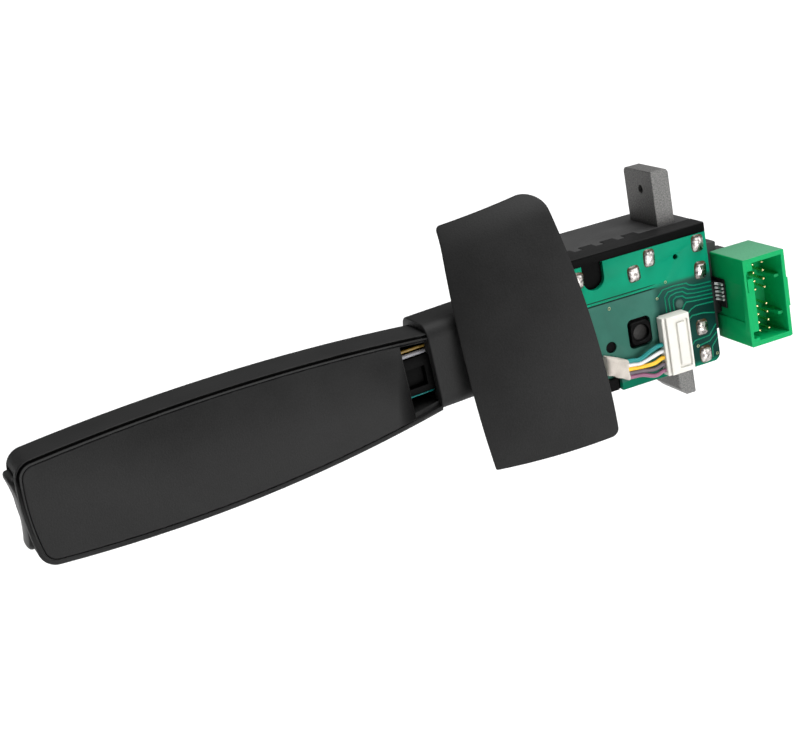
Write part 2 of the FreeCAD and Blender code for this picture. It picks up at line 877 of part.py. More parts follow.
def lever_core():
    # A screwed-in beam, a block that fills the collar, and a slimmer neck that ends in the hinge eye.
    beam = box(along(core_end), along(lever_root - collar_stop), core_front, core_back,
               up(-core_fall), up(core_rise))
    neck_front = plate_back + neck_front_clear
    neck = box(along(collar_end), hinge_x, neck_front, neck_front + neck_depth, up(-core_fall), up(core_rise))
    neck = rounded(neck, lug_edge_radius, lambda edge: runs_along(edge, X_AXIS))
    eye = rod(eye_radius, V(hinge_x, hinge_y, up(-eye_height / 2)), Z_AXIS, eye_height)
    block = box(along(lever_root - collar_stop), along(collar_end - collar_stop), collar_front + collar_wall,
                collar_back - collar_wall, up(-core_fall), up(core_rise))
    core = joined([beam, neck, eye, block])
    core = core.cut(rod(hinge_pin_radius + running_gap, V(hinge_x, hinge_y, up(-eye_height / 2)),
                        Z_AXIS, eye_height))
    spring_outer = eye_spring_room() + return_spring_wire + free_gap
    core = core.cut(rod(spring_outer, V(hinge_x, hinge_y, up(eye_height / 2)), -Z_AXIS, return_spring_height))
    recess_left = along(core_recess_start + core_recess_size)
    core = core.cut(box(recess_left, recess_left + core_recess_size,
                        core_front, core_front + core_recess_depth,
                        up(-core_recess_size / 2 - core_recess_low),
                        up(core_recess_size / 2 - core_recess_low)))
    for place in shell_screw_places():
        core = core.cut(screw_hole(place, -Y_AXIS, shell_screw_length()))
    return tilted(core)


def lever_slab(inset, y0, y1):
    # The lever's side outline between two depths: a leaf with rounded tip corners, drawn inside by inset.
    root_x = along(lever_root)
    end_x = along(lever_end - inset)
    middle_x = along(lever_middle)
    root_top = up(root_half_height - inset)
    root_low = up(-root_half_height + inset)
    end_top = up(end_half_height - inset)
    end_low = up(-end_half_height + inset)
    corners = [V(root_x, 0, root_top), V(end_x, 0, end_top), V(end_x, 0, end_low), V(root_x, 0, root_low)]
    middle_top = V(middle_x, 0, up(middle_rise - inset))
    middle_low = V(middle_x, 0, up(-middle_fall + inset))
    edges = [Part.Arc(corners[0], middle_top, corners[1]).toShape(),
             Part.Arc(corners[1], V(end_x - end_bulge, 0, up(0)), corners[2]).toShape(),
             Part.Arc(corners[2], middle_low, corners[3]).toShape(),
             Part.LineSegment(corners[3], corners[0]).toShape()]
    leaf = slab(Part.Wire(edges), y0, y1)
    corner = max(tip_corner - inset, tip_corner / 4)
    return rounded(leaf, corner, lambda edge: runs_along(edge, Y_AXIS)
                   and edge.CenterOfMass.x < end_x + on_plane)


def rocker_slot():
    half_z = rocker_half_height + rocker_slot_margin
    half_y = rocker_width / 2 + free_gap
    y_mid = (lever_front_y + lever_back_y) / 2
    return box(along(lever_end + end_bulge + rocker_stand), along(lever_end - rocker_pin_from_end * 2),
               y_mid - half_y, y_mid + half_y, up(rocker_offset - half_z), up(rocker_offset + half_z))


def rocker_axis():
    return along(lever_end - rocker_pin_from_end), up(rocker_offset)


def lever_shell():
    outer = lever_slab(0, lever_front_y, lever_back_y)
    outer = rounded(outer, lever_back_round, lambda edge: edge.BoundBox.YMin > lever_back_y - on_plane
                    and not runs_along(edge, Z_AXIS))
    outer = rounded(outer, lever_front_round, lambda edge: edge.BoundBox.YMax < lever_front_y + on_plane
                    and not runs_along(edge, Z_AXIS))
    ledge_y = lever_front_y + panel_thickness
    rebate = lever_slab(panel_inset, lever_front_y, ledge_y)
    hollow = lever_slab(panel_inset + panel_ledge, ledge_y, lever_back_y - lever_back_round)
    deep = lever_slab(lever_back_round, ledge_y, lever_back_y - shell_wall)
    shell = outer.cut(rebate).cut(hollow).cut(deep)
    shell = joined([shell] + shell_ribs()).cut(rocker_slot())
    pin_x, pin_z = rocker_axis()
    shell = shell.cut(rod(rocker_pin_radius, V(pin_x, ledge_y, pin_z), Y_AXIS, rocker_pin_length()))
    for place in shell_screw_places():
        shell = shell.cut(screw_hole(place, -Y_AXIS, shell_screw_length()))
    return tilted(shell)


def rocker_pin_length():
    return lever_thickness - panel_thickness - shell_wall / 2


def shell_ribs():
    # Inner cheeks that hold the rocker pin, and bosses that the core is screwed against.
    pin_x, pin_z = rocker_axis()
    y_mid = (lever_front_y + lever_back_y) / 2
    gap = rocker_width / 2 + free_gap
    size = rocker_hub_radius
    cheeks = []
    for y0, y1 in ((lever_front_y + panel_thickness, y_mid - gap), (y_mid + gap, lever_back_y - shell_wall)):
        cheek_low = up(-end_half_height + shell_wall)
        cheeks.append(box(pin_x - size, pin_x + size, y0, y1, cheek_low, pin_z + size))
    bosses = []
    for place in shell_screw_places():
        start = V(place.x, core_back, place.z)
        bosses.append(rod(screw_boss_radius, start, Y_AXIS, lever_back_y - shell_wall / 2 - core_back))
    return cheeks + bosses


def shell_screw_places():
    reaches = (shell_screw_start, shell_screw_start + shell_screw_spacing)
    return [V(along(reach), lever_back_y, lever_axis_z) for reach in reaches]


def shell_screw_length():
    return lever_back_y - core_back + screw_grip


def cover_panel():
    # The front panel follows the shell's rebate, and stops short of the collar to leave the wires' window.
    back = lever_front_y + panel_thickness
    panel = lever_slab(panel_inset + panel_seam, lever_front_y, back)
    panel = panel.cut(box(along(panel_start), along(lever_root), lever_front_y, back,
                          up(-middle_fall), up(middle_rise)))
    panel = rounded(panel, panel_edge, lambda edge: edge.BoundBox.YMax < lever_front_y + on_plane)
    return tilted(panel)


def collar():
    x0 = along(lever_root)
    x1 = along(collar_end)
    ring = box(x0, x1, collar_front, collar_back, up(-collar_fall), up(collar_rise))
    ring = rounded(ring, collar_corner, lambda edge: runs_along(edge, X_AXIS))
    passage = box(x0, x1, collar_front + collar_wall, collar_back - collar_wall,
                  up(-core_fall), up(core_rise))
    channel_back = core_front + collar_channel_depth
    stop = x1 - collar_stop
    channel = box(x0, stop, core_front, channel_back, up(core_rise), up(core_rise + collar_channel))
    groove = box(x0, stop, core_front, channel_back, up(-core_fall - collar_groove), up(-core_fall))
    return tilted(ring.cut(passage).cut(channel).cut(groove))


def shield():
    # The patch lies between two meridians and two parallels of a sphere, with its axis turned by shield_tilt.
    centre = V(shield_centre_x, shield_centre_y, shield_centre_z)
    outer = Part.makeSphere(shield_radius)
    inner = Part.makeSphere(shield_radius - shield_wall)
    patch = outer.cut(inner).common(shield_wedge())
    for at_left, at_top in ((True, True), (True, False), (False, False)):
        patch = patch.cut(shield_corner(at_left, at_top, shield_small_corner))
    patch = patch.cut(shield_corner(False, True, shield_top_right_corner))
    patch.rotate(V(0, 0, 0), Y_AXIS, -shield_tilt)
    patch.translate(centre)
    web_ball = Part.makeSphere(shield_radius - shield_wall / 2, centre)
    x0 = along(shield_web_start + shield_web_length)
    web = box(x0, x0 + shield_web_length, collar_front - shield_web_reach, collar_front,
              up(-shield_web_height / 2), up(shield_web_height / 2))
    web = tilted(rounded(web, shield_web_corner, lambda edge: runs_along(edge, Y_AXIS)))
    return joined([patch, web.common(web_ball)])


def shield_wedge():
    # The pie slice between the two meridians, as tall as the patch.
    far = shield_radius * 2
    points = [V(0, 0, -shield_fall)]
    for azimuth in (shield_left_azimuth, shield_right_azimuth):
        angle = math.radians(azimuth)
        points.append(V(-far * math.sin(angle), -far * math.cos(angle), -shield_fall))
    points.append(points[0])
    wedge = Part.Face(Part.makePolygon(points)).extrude(V(0, 0, shield_rise_right + shield_fall))
    left_x = -shield_radius * math.sin(math.radians(shield_left_azimuth))
    right_x = -shield_radius * math.sin(math.radians(shield_right_azimuth))
    slope = (shield_rise_right - shield_rise_left) / (right_x - left_x)
    far_height = shield_rise_left - (far + left_x) * slope
    near_height = shield_rise_right - right_x * slope
    above = Part.makePolygon([V(-far, 0, far_height), V(0, 0, near_height), V(0, 0, far), V(-far, 0, far),
                              V(-far, 0, far_height)])
    return wedge.cut(slab(above, -far, 0))


def shield_corner(at_left, at_top, radius):
    # What a rounded corner takes off the patch: a square block with the corner's own cylinder left out. The
    # cylinder is a slip gap larger, so that it crosses the patch's edges instead of grazing them.
    rise = shield_rise_left if at_left else shield_rise_right
    edge_height = rise if at_top else -shield_fall
    edge_azimuth = math.radians(shield_left_azimuth if at_left else shield_right_azimuth)
    outward = 1 if at_left else -1
    upward = 1 if at_top else -1
    latitude = math.asin(edge_height / shield_radius) - upward * radius / shield_radius
    azimuth = edge_azimuth - outward * radius / (shield_radius * math.cos(latitude))
    normal = V(-math.cos(latitude) * math.sin(azimuth), -math.cos(latitude) * math.cos(azimuth),
               math.sin(latitude))
    sideways = V(-math.cos(azimuth), math.sin(azimuth), 0) * outward
    upwards = V(math.sin(latitude) * math.sin(azimuth), math.sin(latitude) * math.cos(azimuth),
                math.cos(latitude)) * upward
    reach = radius * 2
    start = normal * (shield_radius - shield_wall * 3)
    square = Part.makePolygon([start, start + sideways * reach, start + (sideways + upwards) * reach,
                               start + upwards * reach, start])
    block = Part.Face(square).extrude(normal * shield_wall * 5)
    return block.cut(rod(radius + slip_gap, start, normal, shield_wall * 5))


def lever_wire(height):
    # A straight wire from the lever board's root end to the stop inside the collar.
    start = V(along(lever_board_start), core_front + lever_wire_radius + lever_wire_gap, up(height))
    end_x = along(collar_end + collar_stop)
    return tilted(rod(lever_wire_radius, start, X_AXIS, end_x - start.x))


def lever_wire_levels():
    step = lever_wire_radius * 2 + lever_wire_gap
    upper = core_rise + lever_wire_gap + lever_wire_radius
    return upper, upper + step, -core_fall - lever_wire_gap - lever_wire_radius


def lever_board():
    board = box(along(lever_board_end), along(lever_board_start),
                core_front - lever_board_thickness, core_front,
                up(-lever_board_half_height), up(lever_board_half_height))
    return tilted(board)


def tact_switches():
    parts = []
    for sign in (-1, 1):
        z = up(rocker_offset + sign * switch_spread)
        half = switch_size / 2
        end = along(lever_board_end)
        body = box(end, end + switch_size, core_front, core_front + switch_size, z - half, z + half)
        button = rod(switch_button_radius, V(end, core_front + half, z), -X_AXIS, switch_button_radius / 2)
        parts.append(tilted(joined([body, button])))
    return Part.makeCompound(parts)


def tip_rocker():
    # A concave thumb face on a hollow skirt, with a hub on the rocker pin.
    pin_x, pin_z = rocker_axis()
    y_mid = (lever_front_y + lever_back_y) / 2
    half = rocker_width / 2
    face_x = along(lever_end + rocker_stand)
    inner_x = along(lever_end - rocker_skirt)
    top = pin_z + rocker_half_height
    low = pin_z - rocker_half_height
    edges = [Part.LineSegment(V(inner_x, 0, low), V(inner_x, 0, top)).toShape(),
             Part.LineSegment(V(inner_x, 0, top), V(face_x, 0, top)).toShape(),
             Part.Arc(V(face_x, 0, top), V(face_x + rocker_hollow, 0, pin_z), V(face_x, 0, low)).toShape(),
             Part.LineSegment(V(face_x, 0, low), V(inner_x, 0, low)).toShape()]
    body = slab(Part.Wire(edges), y_mid - half, y_mid + half)
    body = rounded(body, rocker_edge, lambda edge: edge.BoundBox.XMax < face_x + rocker_hollow + slip_gap
                   and not runs_along(edge, X_AXIS))
    hub = rod(rocker_hub_radius, V(pin_x, y_mid - half, pin_z), Y_AXIS, rocker_width)
    stem = box(inner_x, pin_x, y_mid - half, y_mid + half,
               pin_z - rocker_hub_radius, pin_z + rocker_hub_radius)
    hole = rod(rocker_pin_radius + running_gap, V(pin_x, y_mid - half, pin_z), Y_AXIS, rocker_width)
    return tilted(joined([body, hub, stem] + rocker_prongs()).cut(hole))


def rocker_prongs():
    # Two prongs behind the rocker, each just short of its switch when the rocker is tilted all the way.
    half = rocker_prong / 2
    swing = (switch_spread + half) * math.sin(math.radians(rocker_swing))
    tip_x = along(lever_board_end) - switch_button_radius / 2 - swing - slip_gap
    y_mid = core_front + switch_size / 2
    prongs = []
    for sign in (-1, 1):
        z = up(rocker_offset + sign * switch_spread)
        root_x = along(lever_end - rocker_skirt)
        prongs.append(box(root_x, tip_x, y_mid - half, y_mid + half, z - half, z + half))
    return prongs


def rocker_pin():
    pin_x, pin_z = rocker_axis()
    start = lever_front_y + panel_thickness
    return tilted(rod(rocker_pin_radius, V(pin_x, start, pin_z), Y_AXIS, rocker_pin_length()))


def bracket_screws():
    length = bracket_screw_length()
    return Part.makeCompound([screw(place, -Y_AXIS, length) for place in bracket_screw_places()])


def shell_screws():
    length = shell_screw_length()
    return Part.makeCompound([tilted(screw(place, -Y_AXIS, length)) for place in shell_screw_places()])


def nodes():
    white_level, ochre_level, teal_level = lever_wire_levels()
    parts = {
        "mounting_bracket": mounting_bracket(),
        "housing_shell": housing_shell(),
        "housing_cover": housing_cover(),
        "circuit_board": circuit_board(),
        "solder_joints": solder_joints(),
        "vehicle_connector": vehicle_connector(),
        "connector_pins": connector_pins(),
        "lead_strip": lead_strip(),
        "connector_leads": connector_leads(),
        "board_header": board_header(),
        "harness_plug": harness_plug(),
        "harness_sleeve": harness_sleeve(),
        "pivot_pin": pivot_pin(),
        "swing_yoke": swing_yoke(),
        "hinge_pin": hinge_pin(),
        "return_spring": return_spring(),
        "detent_spring": detent_spring(),
        "detent_plunger": detent_plunger(),
        "detent_cam": detent_cam(),
        "lever_core": lever_core(),
        "lever_shell": lever_shell(),
        "cover_panel": cover_panel(),
        "collar": collar(),
        "shield": shield(),
        "lever_board": lever_board(),
        "tact_switches": tact_switches(),
        "lever_wire_white": lever_wire(white_level),
        "lever_wire_ochre": lever_wire(ochre_level),
        "lever_wire_teal": lever_wire(teal_level),
        "tip_rocker": tip_rocker(),
        "rocker_pin": rocker_pin(),
        "bracket_screws": bracket_screws(),
        "shell_screws": shell_screws(),
    }
    for index, colour in enumerate(wire_colours):
        parts["wire_" + colour] = harness_wire(index)
    return parts


def main():
    os.makedirs("parts", exist_ok=True)
    for name, shape in nodes().items():
        shape.exportStep("parts/" + name + ".step")
        bounds = shape.BoundBox
        sides = (bounds.XMin, bounds.XMax, bounds.YMin, bounds.YMax, bounds.ZMin, bounds.ZMax)
        print(name, len(shape.Solids), round(shape.Volume, 1), shape.isValid(), [round(v, 1) for v in sides])


main()
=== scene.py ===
import json
import math

import bmesh
import bpy
from mathutils import Matrix, Vector, noise


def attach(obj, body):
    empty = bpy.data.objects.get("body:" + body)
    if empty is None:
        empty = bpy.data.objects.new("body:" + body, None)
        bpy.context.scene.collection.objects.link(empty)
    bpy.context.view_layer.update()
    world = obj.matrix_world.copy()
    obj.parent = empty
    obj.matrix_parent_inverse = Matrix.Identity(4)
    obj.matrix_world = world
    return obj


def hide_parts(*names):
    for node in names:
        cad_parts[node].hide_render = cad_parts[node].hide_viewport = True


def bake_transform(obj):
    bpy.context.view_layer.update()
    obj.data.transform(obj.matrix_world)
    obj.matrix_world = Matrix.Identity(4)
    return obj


bl_info = {
    "name": "Combination stalk switch",
    "version": (1, 0, 0),
    "blender": (4, 5, 0),
    "location": "View3D > Sidebar > Stalk Switch",
    "description": "Finishes and fine forms of a combination stalk switch over its engineered frame",
    "category": "Object",
}

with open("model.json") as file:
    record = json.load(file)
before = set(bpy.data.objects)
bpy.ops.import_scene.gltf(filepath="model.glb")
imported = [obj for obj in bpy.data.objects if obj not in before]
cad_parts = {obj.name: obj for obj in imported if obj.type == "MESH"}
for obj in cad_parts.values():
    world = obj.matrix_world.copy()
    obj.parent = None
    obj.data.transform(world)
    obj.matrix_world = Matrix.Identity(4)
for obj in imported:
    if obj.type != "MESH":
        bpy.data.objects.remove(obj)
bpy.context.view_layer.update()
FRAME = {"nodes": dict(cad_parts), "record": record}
MM = 0.001

# Places and sizes of the engineered part, in millimetres
PIVOT = Vector((-14.9, 0.0, -36.9))
LEVER_AXIS_Z = -27.4
LEVER_TILT = math.radians(-2.7)
LEVER_FRONT_Y = -15.0
LEVER_MIDDLE_Y = -6.5
BOARD_FRONT_Y = -15.0
SHIELD_CENTRE = Vector((-27.2, 51.4, -38.0))
SHIELD_RADIUS, SHIELD_WALL, SHIELD_EDGE = 84.9, 2.2, 0.3
CONNECTOR_LEFT_X = 12.9
CONNECTOR_FRONT_Y = -28.9
CONNECTOR_TOP_Z = -20.5
DIMPLE = Vector((0.0, 0.0, 0.0))

# Tracks, through-holes and solder joints on the board, as (x, z) in millimetres
TRACKS = (
    [(10.4, -28.4), (4.6, -28.0), (3.1, -27.5), (2.2, -26.7), (-2.3, -26.4), (-5.8, -26.6), (-7.7, -28.4)],
    [(10.4, -29.6), (4.4, -29.1), (2.6, -28.7), (1.1, -27.7), (-1.4, -27.5), (-4.2, -27.7), (-5.4, -28.9),
     (-5.4, -33.6)],
    [(10.4, -30.8), (4.2, -30.3), (2.0, -29.9), (0.6, -28.8), (-1.6, -28.6), (-3.5, -29.0), (-4.2, -29.8),
     (-4.1, -33.7)],
    [(10.4, -32.0), (4.0, -31.5), (1.5, -31.1), (0.4, -30.1), (-1.8, -29.9), (-2.7, -30.5), (-2.9, -31.7),
     (-2.8, -33.7)],
    [(10.4, -33.1), (3.9, -32.6), (1.4, -32.3), (0.7, -32.9), (-0.2, -34.2)],
    [(10.4, -34.5), (4.5, -34.2), (2.7, -34.8), (0.6, -36.6)],
    [(10.4, -37.9), (6.8, -37.0), (2.8, -36.8), (0.4, -38.4)],
    [(10.3, -41.4), (7.7, -44.2), (2.7, -44.5), (0.6, -46.4)],
    [(10.3, -43.8), (7.6, -45.9), (3.9, -46.4)],
    [(10.3, -45.6), (8.2, -47.8), (8.0, -51.2)],
    [(-4.9, -24.6), (-29.2, -24.85)],
)
VIAS = ((-4.5, -24.6), (-7.9, -28.7), (3.5, -46.4), (9.6, -50.3), (-6.3, -47.6), (-23.6, -27.4))
JOINTS = ((-32.1, -16.8), (-14.2, -19.5), (-8.7, -16.2), (7.5, -16.0), (7.4, -24.1), (5.6, -41.1),
          (5.7, -49.4))
TEST_SPOTS = ((-0.9, -32.2),)

# Edges where two faces meet at more than this many degrees stay sharp
SHARP_DEG = 38


# Colour and shader helpers


def linear(hex_colour):
    """Turns an sRGB hex colour such as "#2A2A2A" into linear RGBA."""
    channels = [int(hex_colour[i : i + 2], 16) / 255 for i in (1, 3, 5)]
    return [c / 12.92 if c <= 0.04045 else ((c + 0.055) / 1.055) ** 2.4 for c in channels] + [1.0]


def tint(colour, factor):
    """A lighter or darker shade of a linear colour."""
    return [min(channel * factor, 1.0) for channel in colour[:3]] + [1.0]


def fill(tree, node, inputs):
    """Gives each named input of a node its value or its link."""
    for key, value in inputs.items():
        if isinstance(value, bpy.types.NodeSocket):
            tree.links.new(value, node.inputs[key])
        else:
            node.inputs[key].default_value = value


def add(tree, kind, inputs=None, stops=(), fade="LINEAR", **settings):
    """Adds a node with settings, a ramp's stops as (position, colour) and inputs. Gives its outputs."""
    node = tree.nodes.new(kind)
    for name, value in settings.items():
        setattr(node, name, value)
    if stops:
        node.color_ramp.interpolation = fade
        elements = node.color_ramp.elements
        while len(elements) < len(stops):
            elements.new(0.5)
        for element, (position, colour) in zip(elements, stops):
            element.position = position
            element.color = (*colour[:3], 1.0)
    fill(tree, node, inputs or {})
    return node.outputs


def material(shader):
    """Turns a function that gives the Principled node's inputs into one that makes a named material."""

    def made(name, *values):
        result = bpy.data.materials.new(name)
        result.use_nodes = True
        tree = result.node_tree
        coordinates = add(tree, "ShaderNodeTexCoord")["Object"]
        fill(tree, tree.nodes["Principled BSDF"], shader(tree, coordinates, *values))
        return result

    return made


def grain(tree, coordinates, size_mm, depth_mm, roughness, spread, round_mm=0.2):
    """Fine bump of a real size over softly rounded edges, and roughness that drifts from spot to spot.

    Gives the inputs that these make for the Principled node, with the fine and the broad pattern.
    """

    def pattern(size, detail):
        return add(tree, "ShaderNodeTexNoise", {
            "Vector": coordinates, "Scale": 1 / size, "Detail": detail})["Fac"]

    fine, broad = pattern(size_mm * MM, 3.0), pattern(size_mm * 30 * MM, 4.0)
    edges = add(tree, "ShaderNodeBevel", {"Radius": round_mm * MM}, samples=4)["Normal"]
    bump = add(tree, "ShaderNodeBump", {
        "Height": fine, "Distance": depth_mm * MM, "Strength": 1.0, "Normal": edges})["Normal"]
    level = add(tree, "ShaderNodeMapRange", {
        "Value": broad, "From Min": 0.15, "From Max": 0.85, "To Min": roughness - spread,
        "To Max": roughness + spread})["Result"]
    return {"Normal": bump, "Roughness": level}, fine, broad


@material
def moulded(tree, coordinates, colour, contrast, size_mm, depth_mm, roughness, spread, ior=1.5, painted_top_light=0.0):
    """A moulded plastic: two near shades mottled over a fine grain, lightened on faces that look up as painted
    top light.
    """
    inputs, fine, broad = grain(tree, coordinates, size_mm, depth_mm, roughness, spread)
    mottle = add(tree, "ShaderNodeMix", {"Factor": 0.35, "A": broad, "B": fine})["Result"]
    stops = [(0.35, tint(colour, 1 - contrast)), (0.65, tint(colour, 1 + contrast))]
    shade = add(tree, "ShaderNodeValToRGB", {"Fac": mottle}, stops)["Color"]
    # Faces that look up are made lighter: painted top light.
    if painted_top_light:
        faces = add(tree, "ShaderNodeNewGeometry")["Normal"]
        upward = add(tree, "ShaderNodeSeparateXYZ", {"Vector": faces})["Z"]
        level = add(tree, "ShaderNodeMapRange", {
            "Value": upward, "From Min": 0.3, "From Max": 0.9, "To Min": 1.0, "To Max": 1.0 + painted_top_light})["Result"]
        shade = add(tree, "ShaderNodeVectorMath", {0: shade, "Scale": level}, operation="SCALE")[0]
    return inputs | {"Base Color": shade, "IOR": ior}


@material
def metal(tree, coordinates, dark, light, size_mm, depth_mm, roughness, spread):
    """A bare metal: tone and gloss change with a pitted or worked surface of a given size."""
    inputs, fine, _ = grain(tree, coordinates, size_mm, depth_mm, roughness, spread, 0.4)
    stops = [(0.3, linear(dark)), (0.7, linear(light))]
    shade = add(tree, "ShaderNodeValToRGB", {"Fac": fine}, stops)["Color"]
    return inputs | {"Base Color": shade, "Metallic": 1.0}


@material
def solder_mask(tree, coordinates, copper, bare, washed):
    """Lacquer over the board: bright on copper, grey-green or dark where it lies on bare glass-epoxy."""
    low, high = -52.5, -12.5
    # By share of the way from low to high: strip, washed area in two tones, gap, track, gap, pour
    left = [(0.0, tint(copper, 0.5)), (0.055, tint(washed, 0.7)), (0.12, washed), (0.668, tint(washed, 0.15)),
            (0.680, tint(copper, 1.25)), (0.697, tint(washed, 0.15)), (0.707, copper)]
    # Strip, laminate between the tracks, its upper edge, pour
    right = [(0.0, tint(copper, 0.7)), (0.05, bare), (0.25, tint(bare, 1.5)), (0.40, bare),
             (0.60, tint(bare, 1.8)), (0.66, tint(washed, 0.45)), (0.703, copper)]
    left_ends, right_starts = -9.4, -7.4
    cloud_tones = [(0.2, linear("#DADADA")), (0.8, linear("#FFFFFF"))]

    inputs, _, broad = grain(tree, coordinates, 0.5, 0.002, 0.30, 0.05, 0.1)
    place = add(tree, "ShaderNodeSeparateXYZ", {"Vector": coordinates})
    height = add(tree, "ShaderNodeMapRange", {
        "Value": place["Z"], "From Min": low * MM, "From Max": high * MM})["Result"]
    split = add(tree, "ShaderNodeMapRange", {
        "Value": place["X"], "From Min": left_ends * MM, "From Max": right_starts * MM})["Result"]
    left_tone = add(tree, "ShaderNodeValToRGB", {"Fac": height}, left, "CONSTANT")["Color"]
    right_tone = add(tree, "ShaderNodeValToRGB", {"Fac": height}, right, "EASE")["Color"]
    areas = add(tree, "ShaderNodeMix", {"Factor": split, "A": left_tone, "B": right_tone}, data_type="RGBA")
    clouds = add(tree, "ShaderNodeValToRGB", {"Fac": broad}, cloud_tones, "EASE")["Color"]
    shade = add(tree, "ShaderNodeMix", {"Factor": 1.0, "A": areas["Result"], "B": clouds},
                data_type="RGBA", blend_type="MULTIPLY")["Result"]
    return inputs | {"Base Color": shade, "IOR": 1.12}


@material
def solder(tree, coordinates):
    """Solder browned where the piece's "flux_and_shade" attribute says so: flux on its upper end, and round
    its foot flux with painted edge shade.
    """
    inputs, fine, _ = grain(tree, coordinates, 0.9, 0.02, 0.26, 0.06, 0.1)
    tin_tones = [(0.35, linear("#5C5856")), (0.62, linear("#BDB8B4"))]
    bright = add(tree, "ShaderNodeValToRGB", {"Fac": fine}, tin_tones)["Color"]
    flux_and_shade = add(tree, "ShaderNodeAttribute", attribute_name="flux_and_shade")["Fac"]
    patchy = add(tree, "ShaderNodeMath", {0: flux_and_shade, 1: fine}, operation="MULTIPLY", use_clamp=True)[0]
    edge = add(tree, "ShaderNodeMapRange", {"Value": patchy, "From Min": 0.18, "From Max": 0.36})["Result"]
    coat = add(tree, "ShaderNodeMix", {"Factor": edge, "A": bright, "B": linear("#4A3A26")}, data_type="RGBA")
    bare = add(tree, "ShaderNodeMath", {0: 1.0, 1: edge}, operation="SUBTRACT")[0]
    return inputs | {"Base Color": coat["Result"], "Metallic": bare}


@material
def connector_resin(tree, coordinates, colour, painted_lit_top):
    """Green resin whose upper face is drawn paler: painted top light."""
    inputs, fine, _ = grain(tree, coordinates, 0.4, 0.006, 0.42, 0.06)
    height = add(tree, "ShaderNodeSeparateXYZ", {"Vector": coordinates})["Z"]
    # The upper face takes the pale colour: painted top light.
    above = add(tree, "ShaderNodeMapRange", {
        "Value": height, "From Min": (CONNECTOR_TOP_Z - 0.10) * MM,
        "From Max": (CONNECTOR_TOP_Z - 0.04) * MM})["Result"]
    patchy = add(tree, "ShaderNodeValToRGB", {"Fac": fine}, [(0.3, painted_lit_top), (0.7, tint(painted_lit_top, 0.8))])["Color"]
    shade = add(tree, "ShaderNodeMix", {
        "Factor": above, "A": (*colour[:3], 1.0), "B": patchy}, data_type="RGBA")["Result"]
    return inputs | {"Base Color": shade, "IOR": 1.2}


def insulation(name, hex_colour, contrast=0.08, roughness=0.38, ior=1.38):
    """The recipe of a wire's PVC insulation."""
    return lambda c: moulded("pvc_" + name, linear(hex_colour), contrast, 0.5, 0.002, roughness, 0.04, ior)
